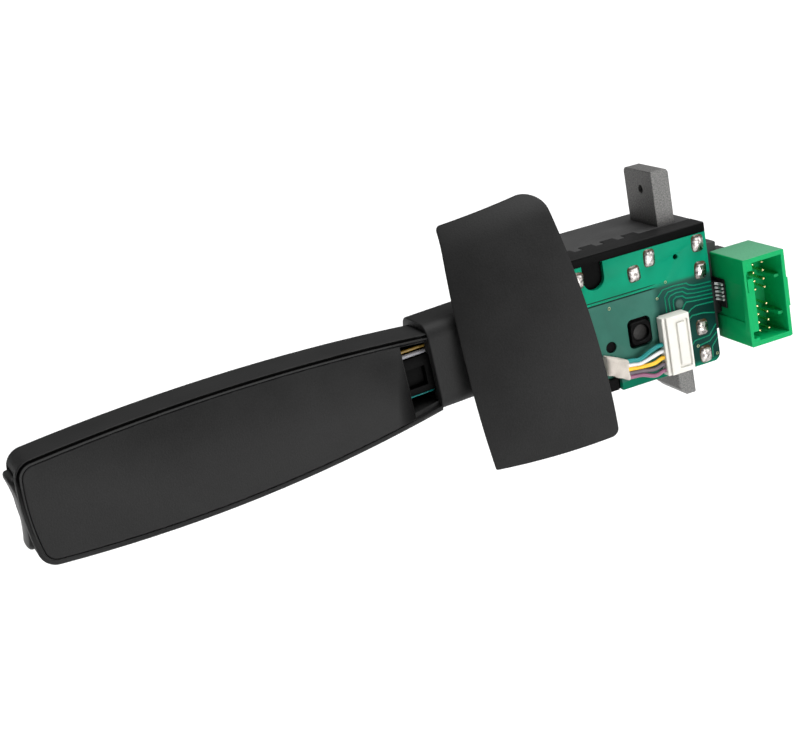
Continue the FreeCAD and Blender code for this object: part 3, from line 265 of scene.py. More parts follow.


# The recipe of each slot or detail, from the sidebar's colours. A moulded plastic has its colour and contrast,
# the size and depth of its grain in mm, its roughness and how far that drifts, its IOR and its painted top
# light.
# A metal has a dark and a light tone, and then the same from the size to the drift.
RECIPES = {
    # ABS moulded against a spark-eroded tool: matt, with a grain that breaks up highlights. Drawn at 0.5 mm,
    # about twice the real size, so that it still shows.
    "lever_black": lambda c: moulded("abs_eroded_black", c.lever, 0.24, 0.5, 0.04, 0.56, 0.05, 1.27),
    # Glass-filled nylon: matt, slightly greyer, with cloudy patches where the fibres come to the surface. The
    # greyer tone of the housing's rear half is partly painted top light.
    "housing_black": lambda c: moulded("nylon_glass_black", c.housing, 0.22, 0.35, 0.015, 0.58, 0.08, 1.36),
    # The front half is a darker, smoother moulding. Its very dark base also paints shade on its front faces,
    # and its upper faces are lightened as painted top light.
    "housing_cover": lambda c: moulded(
        "nylon_smooth_black", tint(c.housing, 0.05), 0.2, 0.4, 0.01, 0.42, 0.08, 1.11, 8.0),
    # The core deep in the lever is black nylon, drawn almost black and nearly without gloss as painted shade.
    "core_black": lambda c: moulded("nylon_core_black", linear("#080808"), 0.2, 0.4, 0.01, 0.5, 0.08, 1.12),
    # Die-cast zinc as cast: sandy, dull grey.
    "bracket_zinc": lambda c: metal("zinc_die_cast", "#616161", "#8A8987", 0.45, 0.02, 0.66, 0.05),
    # Semi-gloss ABS, polished by the thumb.
    "rocker_black": lambda c: moulded(
        "abs_polished_black", tint(c.lever, 1.2), 0.1, 0.3, 0.006, 0.42, 0.05, 1.25),
    # Solder mask over copper: a smooth, bright green lacquer.
    "board_green": lambda c: solder_mask(
        "solder_mask_glass_epoxy", c.mask_copper, c.mask_bare, c.mask_washed),
    # The same lacquer where a track lifts it: a little darker.
    "board_track": lambda c: moulded(
        "solder_mask_copper", tint(c.mask_copper, 0.8), 0.15, 0.5, 0.002, 0.30, 0.04, 1.2),
    # Tin-lead solder: bright, soft metal with a frosted skin and burnt flux. The brown ring round each joint's
    # foot is flux and painted edge shade.
    "solder_tin": lambda c: solder("solder_tin_lead"),
    # Matt tin on the flattened leads: pale, with a soft shine.
    "lead_tin": lambda c: metal("tin_matt", "#B8BDBA", "#DCE0DE", 0.3, 0.002, 0.5, 0.05),
    # Tinned copper rings of the through-holes, seen through thin lacquer.
    "via_ring": lambda c: metal("copper_tinned", "#7D8A62", "#C6CFA9", 0.3, 0.01, 0.35, 0.05),
    # Bare glass-epoxy under a worn test spot: pale grey-green, frosted.
    "test_spot": lambda c: moulded("glass_epoxy_frosted", linear("#33524A"), 0.35, 0.25, 0.02, 0.5, 0.1, 1.3),
    # Glass-filled polyester in bright green: satin, with its upper face drawn paler as painted top light.
    "connector_green": lambda c: connector_resin("polyester_green", c.connector, linear("#5B9F7A")),
    # Flash gold over nickel on the contact tips: warm and glossy.
    "contact_gold": lambda c: metal("gold_flash", "#E8C98A", "#F7E2B0", 0.4, 0.002, 0.22, 0.05),
    # Natural nylon: milky white.
    "plug_white": lambda c: moulded("nylon_natural", c.plug, 0.05, 0.4, 0.006, 0.45, 0.05, 1.4),
    # Soft elastomer: warm grey-beige, dull.
    "sleeve_beige": lambda c: moulded("elastomer_beige", c.sleeve, 0.10, 0.5, 0.03, 0.62, 0.06, 1.4),
    # PVC insulation in the loom's colours: smooth, waxy gloss. The white wire inside the lever is drawn grey
    # as painted shade.
    "wire_teal": insulation("teal", "#0A7F7C"),
    "wire_white": insulation("white", "#D8D8D8", 0.05),
    "wire_white_painted_shade": insulation("white_dull", "#8E8E93", 0.05, 0.32, 1.4),
    "wire_yellow": insulation("yellow", "#EDB92B"),
    "wire_grey": insulation("grey", "#5F555D"),
    "wire_pink": insulation("pink", "#87566F"),
    "wire_ochre": insulation("ochre", "#7E631F", ior=1.5),
    # Ground steel pins and zinc-plated screws: even and bright.
    "steel_ground": lambda c: metal("steel_ground", "#8D8D8D", "#B5B5B4", 0.3, 0.002, 0.25, 0.05),
    # Oil-blackened steel: the pivot pin's end looks almost as dark as its boss.
    "steel_blackened": lambda c: metal("steel_blackened", "#1A1A1A", "#2C2B2A", 0.3, 0.004, 0.42, 0.06),
    # Drawn spring steel wire: mid grey, with a dull shine.
    "spring_steel": lambda c: metal("steel_spring", "#6F6F70", "#9A9A9A", 0.2, 0.003, 0.32, 0.05),
    # Acetal: creamy white, slippery.
    "yoke_acetal": lambda c: moulded("acetal_natural", linear("#D8D5CC"), 0.05, 0.4, 0.003, 0.35, 0.05),
    # Glossy black thermoset of switch bodies and pin strips.
    "switch_black": lambda c: moulded(
        "thermoset_black", linear("#141414"), 0.15, 0.3, 0.003, 0.38, 0.04, 1.3),
    # Seamless paper under the part: white, without gloss.
    "floor": lambda c: moulded("paper_white", linear("#F8F8F8"), 0.01, 2.0, 0.002, 0.85, 0.02),
}
FINISHES = {}


def finish(key):
    """The material of a slot or detail, made the first time a piece asks for it."""
    if key not in FINISHES:
        FINISHES[key] = RECIPES[key](bpy.context.scene.stalk_colours)
    return FINISHES[key]


# Mesh helpers


def linked(name, data):
    """A new object with its data, in the scene."""
    thing = bpy.data.objects.new(name, data)
    bpy.context.scene.collection.objects.link(thing)
    return thing


def settled(thing):
    """The plain mesh that an object's modifiers make of it. The object is used up."""
    depsgraph = bpy.context.evaluated_depsgraph_get()
    mesh = bpy.data.meshes.new_from_object(thing.evaluated_get(depsgraph), depsgraph=depsgraph)
    bpy.data.objects.remove(thing)
    return mesh


def opened(data):
    """A working copy of a mesh."""
    mesh = bmesh.new()
    mesh.from_mesh(data)
    return mesh


def closed(mesh, name):
    """The mesh that a working mesh holds. The working mesh is used up."""
    result = bpy.data.meshes.new(name)
    mesh.to_mesh(result)
    mesh.free()
    return result


def piece(name, mesh, slot, body, nodes=(), look=None):
    """Puts a finished mesh in the scene as a piece that rides a body, if given, in place of its CAD nodes."""
    thing = linked(name, mesh)
    mesh.materials.clear()
    mesh.materials.append(finish(look or slot))
    if body:
        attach(thing, body)
    if nodes:
        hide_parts(*nodes)
    return thing


def merged_copy(node):
    """A working copy of a CAD node's mesh with its doubled corners merged and its flat facets joined."""
    mesh = opened(FRAME["nodes"][node].data)
    bmesh.ops.remove_doubles(mesh, verts=mesh.verts, dist=2e-6)
    bmesh.ops.dissolve_limit(mesh, angle_limit=math.radians(0.6), verts=mesh.verts, edges=mesh.edges)
    return mesh


def finished_mesh(mesh, name, bevel_mm=0.0, sharp_deg=SHARP_DEG):
    """Breaks a working mesh's sharp corners, shades it smooth and closes it into a mesh."""
    sharp = math.radians(sharp_deg)
    if bevel_mm:
        corners = [e for e in mesh.edges if len(e.link_faces) == 2 and e.calc_face_angle(0) > sharp]
        bmesh.ops.bevel(mesh, geom=corners, offset=bevel_mm * MM, segments=2, profile=0.5, affect="EDGES",
                        clamp_overlap=True)
    for face in mesh.faces:
        face.smooth = True
    result = closed(mesh, name)
    result.set_sharp_from_angle(angle=sharp)
    return result


def stand_in(node, mesh, slot, look=None):
    """Puts a finished mesh in the scene in place of a CAD node, on that node's body."""
    piece(node + "_piece", mesh, slot, body_of(node), [node], look)


def carry(node, slot, bevel_mm=0.2, look=None):
    """Stands a resurfaced copy in for a CAD node."""
    stand_in(node, finished_mesh(merged_copy(node), node + "_finished", bevel_mm), slot, look)


def body_of(node):
    """The body that a CAD node belongs to."""
    for body, members in FRAME["record"]["behaviour"]["bodies"].items():
        if node in members:
            return body
    raise ValueError(node)


def carved(mesh, tool, operation="DIFFERENCE"):
    """The result of a Boolean between a mesh and a tool mesh."""
    carving, cutter = linked("carving", mesh), linked("cutter", tool)
    work = carving.modifiers.new("carving", "BOOLEAN")
    work.object = cutter
    work.operation = operation
    work.solver = "EXACT"
    result = settled(carving)
    bpy.data.objects.remove(cutter)
    return result


def remeshed(mesh, voxel_mm):
    """A closed mesh made again of even small faces, so that it can be softened."""
    thing = linked("remeshing", mesh)
    work = thing.modifiers.new("remeshing", "REMESH")
    work.mode = "VOXEL"
    work.voxel_size = voxel_mm * MM
    return settled(thing)


def grown(name, source, values, build):
    """Runs a Geometry Nodes tree with named inputs on a source mesh and gives the result as a plain mesh."""
    kinds = {float: "NodeSocketFloat", int: "NodeSocketInt", bpy.types.Material: "NodeSocketMaterial",
             bpy.types.Object: "NodeSocketObject"}
    tree = bpy.data.node_groups.new(name, "GeometryNodeTree")
    tree.interface.new_socket("Geometry", in_out="INPUT", socket_type="NodeSocketGeometry")
    sockets = {label: tree.interface.new_socket(label, in_out="INPUT", socket_type=kinds[type(value)])
               for label, value in values.items()}
    tree.interface.new_socket("Geometry", in_out="OUTPUT", socket_type="NodeSocketGeometry")
    start = add(tree, "NodeGroupInput")
    whole = add(tree, "GeometryNodeRealizeInstances", {"Geometry": build(tree, start)})["Geometry"]
    painted = add(tree, "GeometryNodeSetMaterial", {"Geometry": whole, "Material": start["Finish"]})
    add(tree, "NodeGroupOutput", {"Geometry": painted["Geometry"]})
    carrier = linked(name, source)
    modifier = carrier.modifiers.new(name, "NODES")
    modifier.node_group = tree
    for label, socket in sockets.items():
        modifier[socket.identifier] = values[label]
    return settled(carrier)


def line_mesh(name, lines):
    """A mesh of open chains of edges, one for each list of points in millimetres."""
    points = []
    edges = []
    for line in lines:
        first = len(points)
        points += [tuple(Vector(point) * MM) for point in line]
        edges += [(first + i, first + i + 1) for i in range(len(line) - 1)]
    mesh = bpy.data.meshes.new(name)
    mesh.from_pydata(points, edges, [])
    return mesh


def swept(name, lines, radius, look, flatten=1.0, shift=(0, 0, 0), sides=16, steps=0):
    """Round or flattened tubes along lines; with steps, each line is first smoothed through its points."""

    def build(tree, start):
        curve = add(tree, "GeometryNodeMeshToCurve", {"Mesh": start["Geometry"]})["Curve"]
        if steps:
            smooth = add(tree, "GeometryNodeCurveSplineType", {"Curve": curve}, spline_type="CATMULL_ROM")
            curve = add(tree, "GeometryNodeResampleCurve", {
                "Curve": smooth["Curve"], "Count": start["Steps"]})["Curve"]
        ring = add(tree, "GeometryNodeCurvePrimitiveCircle", {"Resolution": sides, "Radius": start["Radius"]})
        tube = add(tree, "GeometryNodeCurveToMesh", {
            "Curve": curve, "Profile Curve": ring["Curve"], "Fill Caps": True})["Mesh"]
        round_tube = add(tree, "GeometryNodeSetShadeSmooth", {"Geometry": tube})["Geometry"]
        return add(tree, "GeometryNodeTransform", {
            "Geometry": round_tube, "Scale": (1, flatten, 1), "Translation": Vector(shift) * MM})["Geometry"]

    values = {"Radius": float(radius), "Steps": steps, "Finish": finish(look)}
    return grown(name, line_mesh(name + "_path", lines), values, build)


def wire(node, line, radius, slot, steps, look=None):
    """A round wire through the points of a line, in place of a CAD node."""
    stand_in(node, swept(node + "_piece", [line], radius, look or slot, steps=steps), slot, look)


def scattered(name, shape, places, look, turn=0.0, spread=0.0, seed=1):
    """Copies of a shape at places in millimetres, each turned about Y and sized a little differently."""
    pattern = linked(name + "_shape", shape)

    def build(tree, start):
        shapes = add(tree, "GeometryNodeObjectInfo", {"Object": start["Shape"]})["Geometry"]
        turns = add(tree, "FunctionNodeRandomValue", {
            0: (0, -turn, 0), 1: (0, turn, 0), "Seed": seed}, data_type="FLOAT_VECTOR")[0]
        sizes = add(tree, "FunctionNodeRandomValue", {
            0: (1 - spread,) * 3, 1: (1 + spread,) * 3, "Seed": seed + 1}, data_type="FLOAT_VECTOR")[0]
        return add(tree, "GeometryNodeInstanceOnPoints", {
            "Points": start["Geometry"], "Instance": shapes, "Rotation": turns, "Scale": sizes})["Instances"]

    points = bpy.data.meshes.new(name + "_places")
    points.from_pydata([tuple(Vector(place) * MM) for place in places], [], [])
    result = grown(name, points, {"Shape": pattern, "Finish": finish(look)}, build)
    bpy.data.objects.remove(pattern)
    return result


def join_rings(mesh, rings):
    """Lays faces between each closed ring of corners and the next."""
    for ring, after in zip(rings, rings[1:]):
        for i in range(len(ring)):
            j = (i + 1) % len(ring)
            mesh.faces.new((ring[i], ring[j], after[j], after[i]))


def plate(name, place, rows, columns, edge_mm, steps=4):
    """A closed plate with a rounded rim. place(row, column, side) gives the points of its faces in mm."""
    mesh = bmesh.new()
    sides = [[[mesh.verts.new(place(r / rows, c / columns, side) * MM) for c in range(columns + 1)]
              for r in range(rows + 1)] for side in (0, 1)]
    for grid in sides:
        for r in range(rows):
            for c in range(columns):
                mesh.faces.new((grid[r][c], grid[r][c + 1], grid[r + 1][c + 1], grid[r + 1][c]))
    loops = [[grid[0][c] for c in range(columns)] + [grid[r][columns] for r in range(rows)]
             + [grid[rows][c] for c in range(columns, 0, -1)] + [grid[r][0] for r in range(rows, 0, -1)]
             for grid in sides]
    count = len(loops[0])
    middle = sum((vert.co for vert in loops[0]), Vector()) / count
    rings = [loops[0]]
    angles = [math.pi / 2 * step / steps for step in range(1, steps + 1)]
    for side, order in ((0, angles), (1, angles[::-1])):
        for angle in order:
            ring = []
            for i in range(count):
                outer = loops[0][i].co
                inner = loops[1][i].co
                normal = (outer - inner).normalized()
                outward = (loops[0][(i + 1) % count].co - loops[0][i - 1].co).cross(normal).normalized()
                if outward.dot(outer - middle) < 0:
                    outward.negate()
                sink = edge_mm * MM * (1 - math.cos(angle))
                base = outer - normal * sink if side == 0 else inner + normal * sink
                ring.append(mesh.verts.new(base + outward * edge_mm * MM * math.sin(angle)))
            rings.append(ring)
    rings.append(loops[1])
    join_rings(mesh, rings)
    bmesh.ops.recalc_face_normals(mesh, faces=mesh.faces)
    return finished_mesh(mesh, name)


def block(name, x, y, z, turn=None):
    """A box between two values on each axis in millimetres, as a carving tool."""
    mesh = bmesh.new()
    bmesh.ops.create_cube(mesh, size=1.0)
    for vert in mesh.verts:
        corner = [limits[0] if side < 0 else limits[1] for side, limits in zip(vert.co, (x, y, z))]
        vert.co = Vector(corner) * MM
    if turn:
        bmesh.ops.transform(mesh, matrix=turn, verts=mesh.verts)
    bmesh.ops.recalc_face_normals(mesh, faces=mesh.faces)
    return closed(mesh, name)


def cut_off(mesh, place, direction):
    """Cuts away what a working mesh has beyond a place in millimetres, and closes the cut."""
    whole = mesh.verts[:] + mesh.edges[:] + mesh.faces[:]
    bmesh.ops.bisect_plane(mesh, geom=whole, plane_co=Vector(place) * MM, plane_no=direction,
                           clear_outer=True)
    bmesh.ops.holes_fill(mesh, edges=[edge for edge in mesh.edges if len(edge.link_faces) == 1])


def rod_tool(mouth, radius, length):
    """A round drill from 1 mm before a mouth to a length behind it along X, in millimetres."""
    mesh = bmesh.new()
    middle = mouth + Vector((length / 2 - 0.5, 0, 0))
    turn = Matrix.Translation(middle * MM) @ Matrix.Rotation(math.pi / 2, 4, "Y")
    bmesh.ops.create_cone(mesh, segments=32, radius1=radius * MM, radius2=radius * MM,
                          depth=(length + 1) * MM, cap_ends=True, matrix=turn)
    return finished_mesh(mesh, "rod_tool")


# Lever geometry: a place on the straight lever is its distance from the pivot and its height about the axis


def lever_turn():
    """The turn about the pivot that brings the straight lever into its rest position, in metres."""
    pivot = PIVOT * MM
    return Matrix.Translation(pivot) @ Matrix.Rotation(LEVER_TILT, 4, "Y") @ Matrix.Translation(-pivot)


def on_lever(distance, y, height):
    """A place on the straight lever, in millimetres of the frame."""
    return Vector((PIVOT.x - distance, y, LEVER_AXIS_Z + height))


def circle_through(*points):
    """Centre and radius of the circle through three points in a plane."""
    a, b, c = (Vector(point) for point in points)
    a2, b2, c2 = a.length_squared, b.length_squared, c.length_squared
    d = 2 * (a.x * (b.y - c.y) + b.x * (c.y - a.y) + c.x * (a.y - b.y))
    centre = Vector(((a2 * (b.y - c.y) + b2 * (c.y - a.y) + c2 * (a.y - b.y)) / d,
                     (a2 * (c.x - b.x) + b2 * (a.x - c.x) + c2 * (b.x - a.x)) / d))
    return centre, (a - centre).length


def circles_meet(first, r1, second, r2, near):
    """The meeting point of two circles that lies nearest to a point."""
    apart = second - first
    reach = (r1 * r1 - r2 * r2 + apart.length_squared) / (2 * apart.length)
    side = math.sqrt(max(r1 * r1 - reach * reach, 0))
    along = apart.normalized()
    across = Vector((-along.y, along.x))
    points = [first + along * reach + across * offset for offset in (side, -side)]
    return min(points, key=lambda point: (point - near).length)


def arc(centre, start, end, count):
    """Points on a circle from start to end, the short way round."""
    first = math.atan2(start.y - centre.y, start.x - centre.x)
    sweep = (math.atan2(end.y - centre.y, end.x - centre.x) - first + math.pi) % (2 * math.pi) - math.pi
    radius = (start - centre).length
    angles = [first + sweep * i / count for i in range(count + 1)]
    return [centre + Vector((math.cos(angle), math.sin(angle))) * radius for angle in angles]


def lever_outline(inset):
    """The lever's outline from the root's top round the tip to the root's bottom, drawn in by an inset."""
    root, middle, end, bulge, corner = 64.0, 118.0, 179.6, 1.3, 5.2
    root_half, top_middle, low_middle, tip_half = 11.4, 15.7, 16.9, 14.5
    top = circle_through((root, root_half), (middle, top_middle), (end, tip_half))
    tip = circle_through((end, tip_half), (end + bulge, 0.0), (end, -tip_half))
    low = circle_through((end, -tip_half), (middle, -low_middle), (root, -root_half))
    shrunk = [(centre, radius - inset) for centre, radius in (top, tip, low)]
    radius = corner - inset
    upper = circles_meet(top[0], top[1] - corner, tip[0], tip[1] - corner, Vector((end, tip_half)))
    lower = circles_meet(tip[0], tip[1] - corner, low[0], low[1] - corner, Vector((end, -tip_half)))

    def touch(ring, centre):
        return ring[0] + (centre - ring[0]).normalized() * ring[1]

    def at_root(ring, sign):
        return Vector((root, ring[0].y + sign * math.sqrt(ring[1] ** 2 - (root - ring[0].x) ** 2)))

    points = arc(shrunk[0][0], at_root(shrunk[0], 1), touch(shrunk[0], upper), 40)
    points += arc(upper, points[-1], touch(shrunk[1], upper), 8)[1:] if radius > 0 else []
    points += arc(shrunk[1][0], points[-1], touch(shrunk[1], lower), 12)[1:]
    points += arc(lower, points[-1], touch(shrunk[2], lower), 8)[1:] if radius > 0 else []
    return points + arc(shrunk[2][0], points[-1], at_root(shrunk[2], -1), 40)[1:]


def groove_tool(width_mm, depth_mm):
    """What the shadow groove takes off the shell's front: it follows the top and fades out down the tip."""
    front, outside, over, lip, lip_depth = LEVER_FRONT_Y, -1.2, 0.1, 0.25, 0.55
    fades = [1.0] * 49 + [0.8, 0.62, 0.48, 0.38, 0.3, 0.24, 0.19, 0.15, 0.12, 0.09, 0.06, 0.03, 0.0]
    mesh = bmesh.new()
    wide = lip + width_mm
    outlines = {inset: lever_outline(inset) for inset in (outside, lip, wide)}
    rings = []
    for index, fade in enumerate(fades):
        deep = front + (depth_mm + over) * fade - over
        low = front + lip_depth * fade - over
        section = [(outside, front - 1), (wide, front - 1), (wide, deep), (lip, deep), (lip, low),
                   (outside, low)]
        rings.append([mesh.verts.new(on_lever(outlines[inset][index].x, y, outlines[inset][index].y) * MM)
                      for inset, y in section])
    join_rings(mesh, rings)
    mesh.faces.new(rings[0])
    mesh.faces.new(rings[-1])
    bmesh.ops.recalc_face_normals(mesh, faces=mesh.faces)
    bmesh.ops.transform(mesh, matrix=lever_turn(), verts=mesh.verts)
    return finished_mesh(mesh, "groove_tool")


# Shapes on the board, and the shield's form


def on_board(places):
    """Places on the board's front, from (x, z) in millimetres."""
    return [(x, BOARD_FRONT_Y, z) for x, z in places]


def dome_shape(name, half_width, half_height, rise, squareness):
    """A low mound on a rounded-square foot, with a "flux_and_shade" attribute that grows towards its upper end
    and round its foot, where it also paints edge shade.
    """
    mesh = bmesh.new()
    flux_and_shade = mesh.verts.layers.float.new("flux_and_shade")
    rings, spokes = 7, 28
    crest = mesh.verts.new((0, -rise * MM, 0))
    levels = []
    for r in range(1, rings + 1):
        share = r / rings
        level = []
        for s in range(spokes):
            angle = 2 * math.pi * s / spokes
            reach = abs(math.cos(angle)) ** squareness + abs(math.sin(angle)) ** squareness
            stretch = reach ** (-1 / squareness)
            lump = 1 + 0.12 * math.sin(3 * angle + 1.0) * share * (1 - share)
            height = rise * (max(1 - share ** 2.4, 0.0)) ** 0.6 * lump
            vert = mesh.verts.new((math.cos(angle) * stretch * share * half_width * MM, -height * MM,
                                   math.sin(angle) * stretch * share * half_height * MM))
            # Flux on the upper side; the ring round the foot is flux and painted edge shade.
            vert[flux_and_shade] = max(math.sin(angle) - 0.2, 0.0) * share * share + 0.8 * share ** 8
            level.append(vert)
        levels.append(level)
    for s in range(spokes):
        t = (s + 1) % spokes
        mesh.faces.new((crest, levels[0][s], levels[0][t]))
        for inner, outer in zip(levels, levels[1:]):
            mesh.faces.new((inner[s], outer[s], outer[t], inner[t]))
    mesh.faces.new(levels[-1])
    bmesh.ops.recalc_face_normals(mesh, faces=mesh.faces)
    return finished_mesh(mesh, name, sharp_deg=60)


def via_shape():
    """A flat ring with a rounded top, for a through-hole."""
    mesh = bmesh.new()
    spokes = 16
    section = [(0.22, 0.0), (0.24, -0.06), (0.34, -0.08), (0.44, -0.04), (0.47, 0.0)]
    rings = []
    for s in range(spokes):
        angle = 2 * math.pi * s / spokes
        rings.append([mesh.verts.new((math.cos(angle) * r * MM, y * MM, math.sin(angle) * r * MM))
                      for r, y in section])
    join_rings(mesh, rings + rings[:1])
    bmesh.ops.recalc_face_normals(mesh, faces=mesh.faces)
    return finished_mesh(mesh, "via")


def shield_place(lip, lean):
    """Gives the function that places a point of the shield's two faces, on a patch of a sphere."""
    left, right = math.radians(31.5), math.radians(6.3)
    fall, rise_left, rise_right = 19.7, 49.3, 51.2
    lowest = -math.asin(fall / SHIELD_RADIUS)
    # Radii of the corners
    low_left, low_right, top_left, top_right = 0.6, 2.4, 1.6, 6.2
    turn = Matrix.Rotation(math.radians(-6.0), 3, "Y")

    def shift(corner, gap):
        inner = corner - SHIELD_EDGE
        return inner - math.sqrt(max(inner**2 - max(inner - gap, 0) ** 2, 0))

    def place(row, column, side):
        highest = math.asin((rise_left + (rise_right - rise_left) * column) / SHIELD_RADIUS)
        share = (1 - math.cos(math.pi * row)) / 2
        inset = SHIELD_EDGE / SHIELD_RADIUS
        latitude = lowest + inset + (highest - lowest - 2 * inset) * share
        below = (latitude - lowest - inset) * SHIELD_RADIUS
        above = (highest - latitude - inset) * SHIELD_RADIUS
        ring = SHIELD_RADIUS * math.cos(latitude)
        start = left - (SHIELD_EDGE + max(shift(low_left, below), shift(top_left, above))) / ring
        end = right + (SHIELD_EDGE + max(shift(low_right, below), shift(top_right, above))) / ring
        azimuth = start + (end - start) * column
        point = Vector((-ring * math.sin(azimuth), -ring * math.cos(azimuth),
                        SHIELD_RADIUS * math.sin(latitude)))
        point *= 1 - SHIELD_WALL * side / SHIELD_RADIUS
        point.y += lean * max(1 - above / lip, 0) ** 2
        return turn @ point + SHIELD_CENTRE

    return place


# The values that a user would change


def length_property(name, description, default, precision=5):
    """A length in metres that the sidebar shows."""
    return bpy.props.FloatProperty(name=name, description=description, default=default, unit="LENGTH",
                                   subtype="DISTANCE", precision=precision)


def colour_property(name, description, hex_colour):
    """A colour that the sidebar shows, with its default from an sRGB hex value."""
    return bpy.props.FloatVectorProperty(name=name, description=description, subtype="COLOR", size=3, min=0.0,
                                         max=1.0, default=linear(hex_colour)[:3])


class StalkSizes(bpy.types.PropertyGroup):
    groove_width: length_property("Groove width", "Width of the groove round the lever's front", 0.0008)
    groove_depth: length_property("Groove depth", "How deep that groove is cut", 0.0018)
    shield_lip: length_property(
        "Shield lip", "Height of the strip along the shield's top that leans back", 0.008, 4)
    shield_lean: length_property("Shield lean", "How far the top edge of that strip leans back", 0.0018)
    rocker_crown: length_property(
        "Rocker crown", "How far the rocker's face falls back towards its sides", 0.0006)
    wire_radius: length_property("Wire radius", "Radius of the wires between plug and sleeve", 0.00062)
    track_width: length_property("Track width", "Width of the copper tracks on the board", 0.00042)
    joint_rise: length_property("Joint rise", "How far the solder joints stand off the board", 0.001)
    floor_drop: length_property("Floor height", "Height of the paper under the part", -0.32, 3)


class StalkColours(bpy.types.PropertyGroup):
    lever: colour_property("Lever", "Moulded black of the lever, collar and shield", "#1B1B1B")
    housing: colour_property("Housing", "Moulded black of the housing's rear half", "#353535")
    mask_copper: colour_property("Board on copper", "Solder mask where it covers copper", "#088F6C")
    mask_bare: colour_property("Board between tracks", "Solder mask over bare laminate", "#0E352F")
    mask_washed: colour_property("Board at the left", "Solder mask over the plain lower left area", "#3C7264")
    connector: colour_property("Connector", "Moulded green of the vehicle connector", "#009C59")
    plug: colour_property("Plug", "Natural nylon of the header and plug", "#D8D6CF")
    sleeve: colour_property("Sleeve", "Elastomer of the wires' sleeve", "#BAB2A9")


# Operators, one for each piece or group of like pieces


class STALK_OT_bracket(bpy.types.Operator):
    """Makes the cast bracket bar and its two screws"""

    bl_idname = "stalk.bracket"
    bl_label = "Bracket"

    def execute(self, context):
        bar_top, right, back, top, round_edge = -12.0, 5.9, 8.7, 5.8, 1.5
        bar = merged_copy("mounting_bracket")
        cut_off(bar, (0, 0, bar_top), (0, 0, 1))
        # The upper lug is a little taller and deeper than the engineered bar, with rounded edges on its top
        lug = opened(block("lug", (0.0, right), (-6.75, back), (bar_top - 1, top)))
        rounded = []
        for edge in lug.edges:
            x, y, z = (min(vert.co[axis] for vert in edge.verts) / MM for axis in range(3))
            if z > 0 and (x > right - 1 or y > back - 1):
                rounded.append(edge)
        bmesh.ops.bevel(lug, geom=rounded, offset=round_edge * MM, segments=10, profile=0.5, affect="EDGES")
        dimple_radius, dimple_depth = 1.25, 2.0
        dimple = rod_tool(DIMPLE, dimple_radius, dimple_depth)
        lug = carved(finished_mesh(lug, "lug", 0.2, sharp_deg=50), dimple)
        bar.from_mesh(lug)
        stand_in("mounting_bracket", finished_mesh(bar, "bracket", sharp_deg=14), "bracket_zinc")
        carry("bracket_screws", "steel_ground", 0.1)
        return {"FINISHED"}


class STALK_OT_housing(bpy.types.Operator):
    """Makes the two housing halves and the pivot pin that is seated in them"""

    bl_idname = "stalk.housing"
    bl_label = "Housing"

    def execute(self, context):
        carry("housing_shell", "housing_black", 0.25)
        carry("housing_cover", "housing_black", 0.2, "housing_cover")
        carry("pivot_pin", "steel_ground", 0.1, "steel_blackened")
        return {"FINISHED"}


class STALK_OT_mechanism(bpy.types.Operator):
    """Makes the yoke, pins, springs, plunger and detent cam inside the housing"""

    bl_idname = "stalk.mechanism"
    bl_label = "Mechanism"

    def execute(self, context):
        for node, slot, bevel in (("swing_yoke", "yoke_acetal", 0.2), ("hinge_pin", "steel_ground", 0.1),
                                  ("detent_cam", "yoke_acetal", 0.1), ("detent_plunger", "steel_ground", 0),
                                  ("return_spring", "spring_steel", 0)):
            carry(node, slot, bevel)
        # The detent spring stands in the yoke at its upper end, and the plunger pushes its lower end.
        # Its copy rides no body, and its place is baked into its mesh.
        coil = finished_mesh(merged_copy("detent_spring"), "detent_spring_finished")
        spring = piece("detent_spring_piece", coil, "spring_steel", None, ["detent_spring"])
        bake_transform(spring)
        return {"FINISHED"}


class STALK_OT_board(bpy.types.Operator):
    """Makes the circuit board with its tracks, through-holes, test spot and solder joints"""

    bl_idname = "stalk.board"
    bl_label = "Circuit board"

    def execute(self, context):
        sizes = context.scene.stalk_sizes
        # The board stops at the cable's way out: nothing of it is left below and beyond the notch
        notch_right, notch_top = -22.8, -48.0
        notch = block("notch", (-40, notch_right), (BOARD_FRONT_Y - 1, BOARD_FRONT_Y + 5), (-56, notch_top))
        board = opened(carved(finished_mesh(merged_copy("circuit_board"), "board_start"), notch))
        stand_in("circuit_board", finished_mesh(board, "board", 0.08), "board_green")
        routes = [[(x, 0, z) for x, z in line] for line in TRACKS]
        tracks = swept("board_tracks", routes, sizes.track_width / 2, "board_track", flatten=0.2,
                       shift=(0, BOARD_FRONT_Y, 0), sides=8)
        piece("board_tracks", tracks, "board_green", "housing", look="board_track")
        rings = scattered("board_vias", via_shape(), on_board(VIAS), "via_ring", spread=0.1)
        piece("board_vias", rings, "board_green", "housing", look="via_ring")
        dome = dome_shape("spot", half_width=1.5, half_height=1.5, rise=0.06, squareness=2.0)
        spot = scattered("board_test_spot", dome, on_board(TEST_SPOTS), "test_spot")
        piece("board_test_spot", spot, "board_green", "housing", look="test_spot")
        rise = sizes.joint_rise / MM
        dome = dome_shape("joint", half_width=2.0, half_height=2.55, rise=rise, squareness=4.0)
        joints = scattered("solder_joints_piece", dome, on_board(JOINTS), "solder_tin", turn=0.10,
                           spread=0.05, seed=4)
        stand_in("solder_joints", joints, "solder_tin")
        return {"FINISHED"}


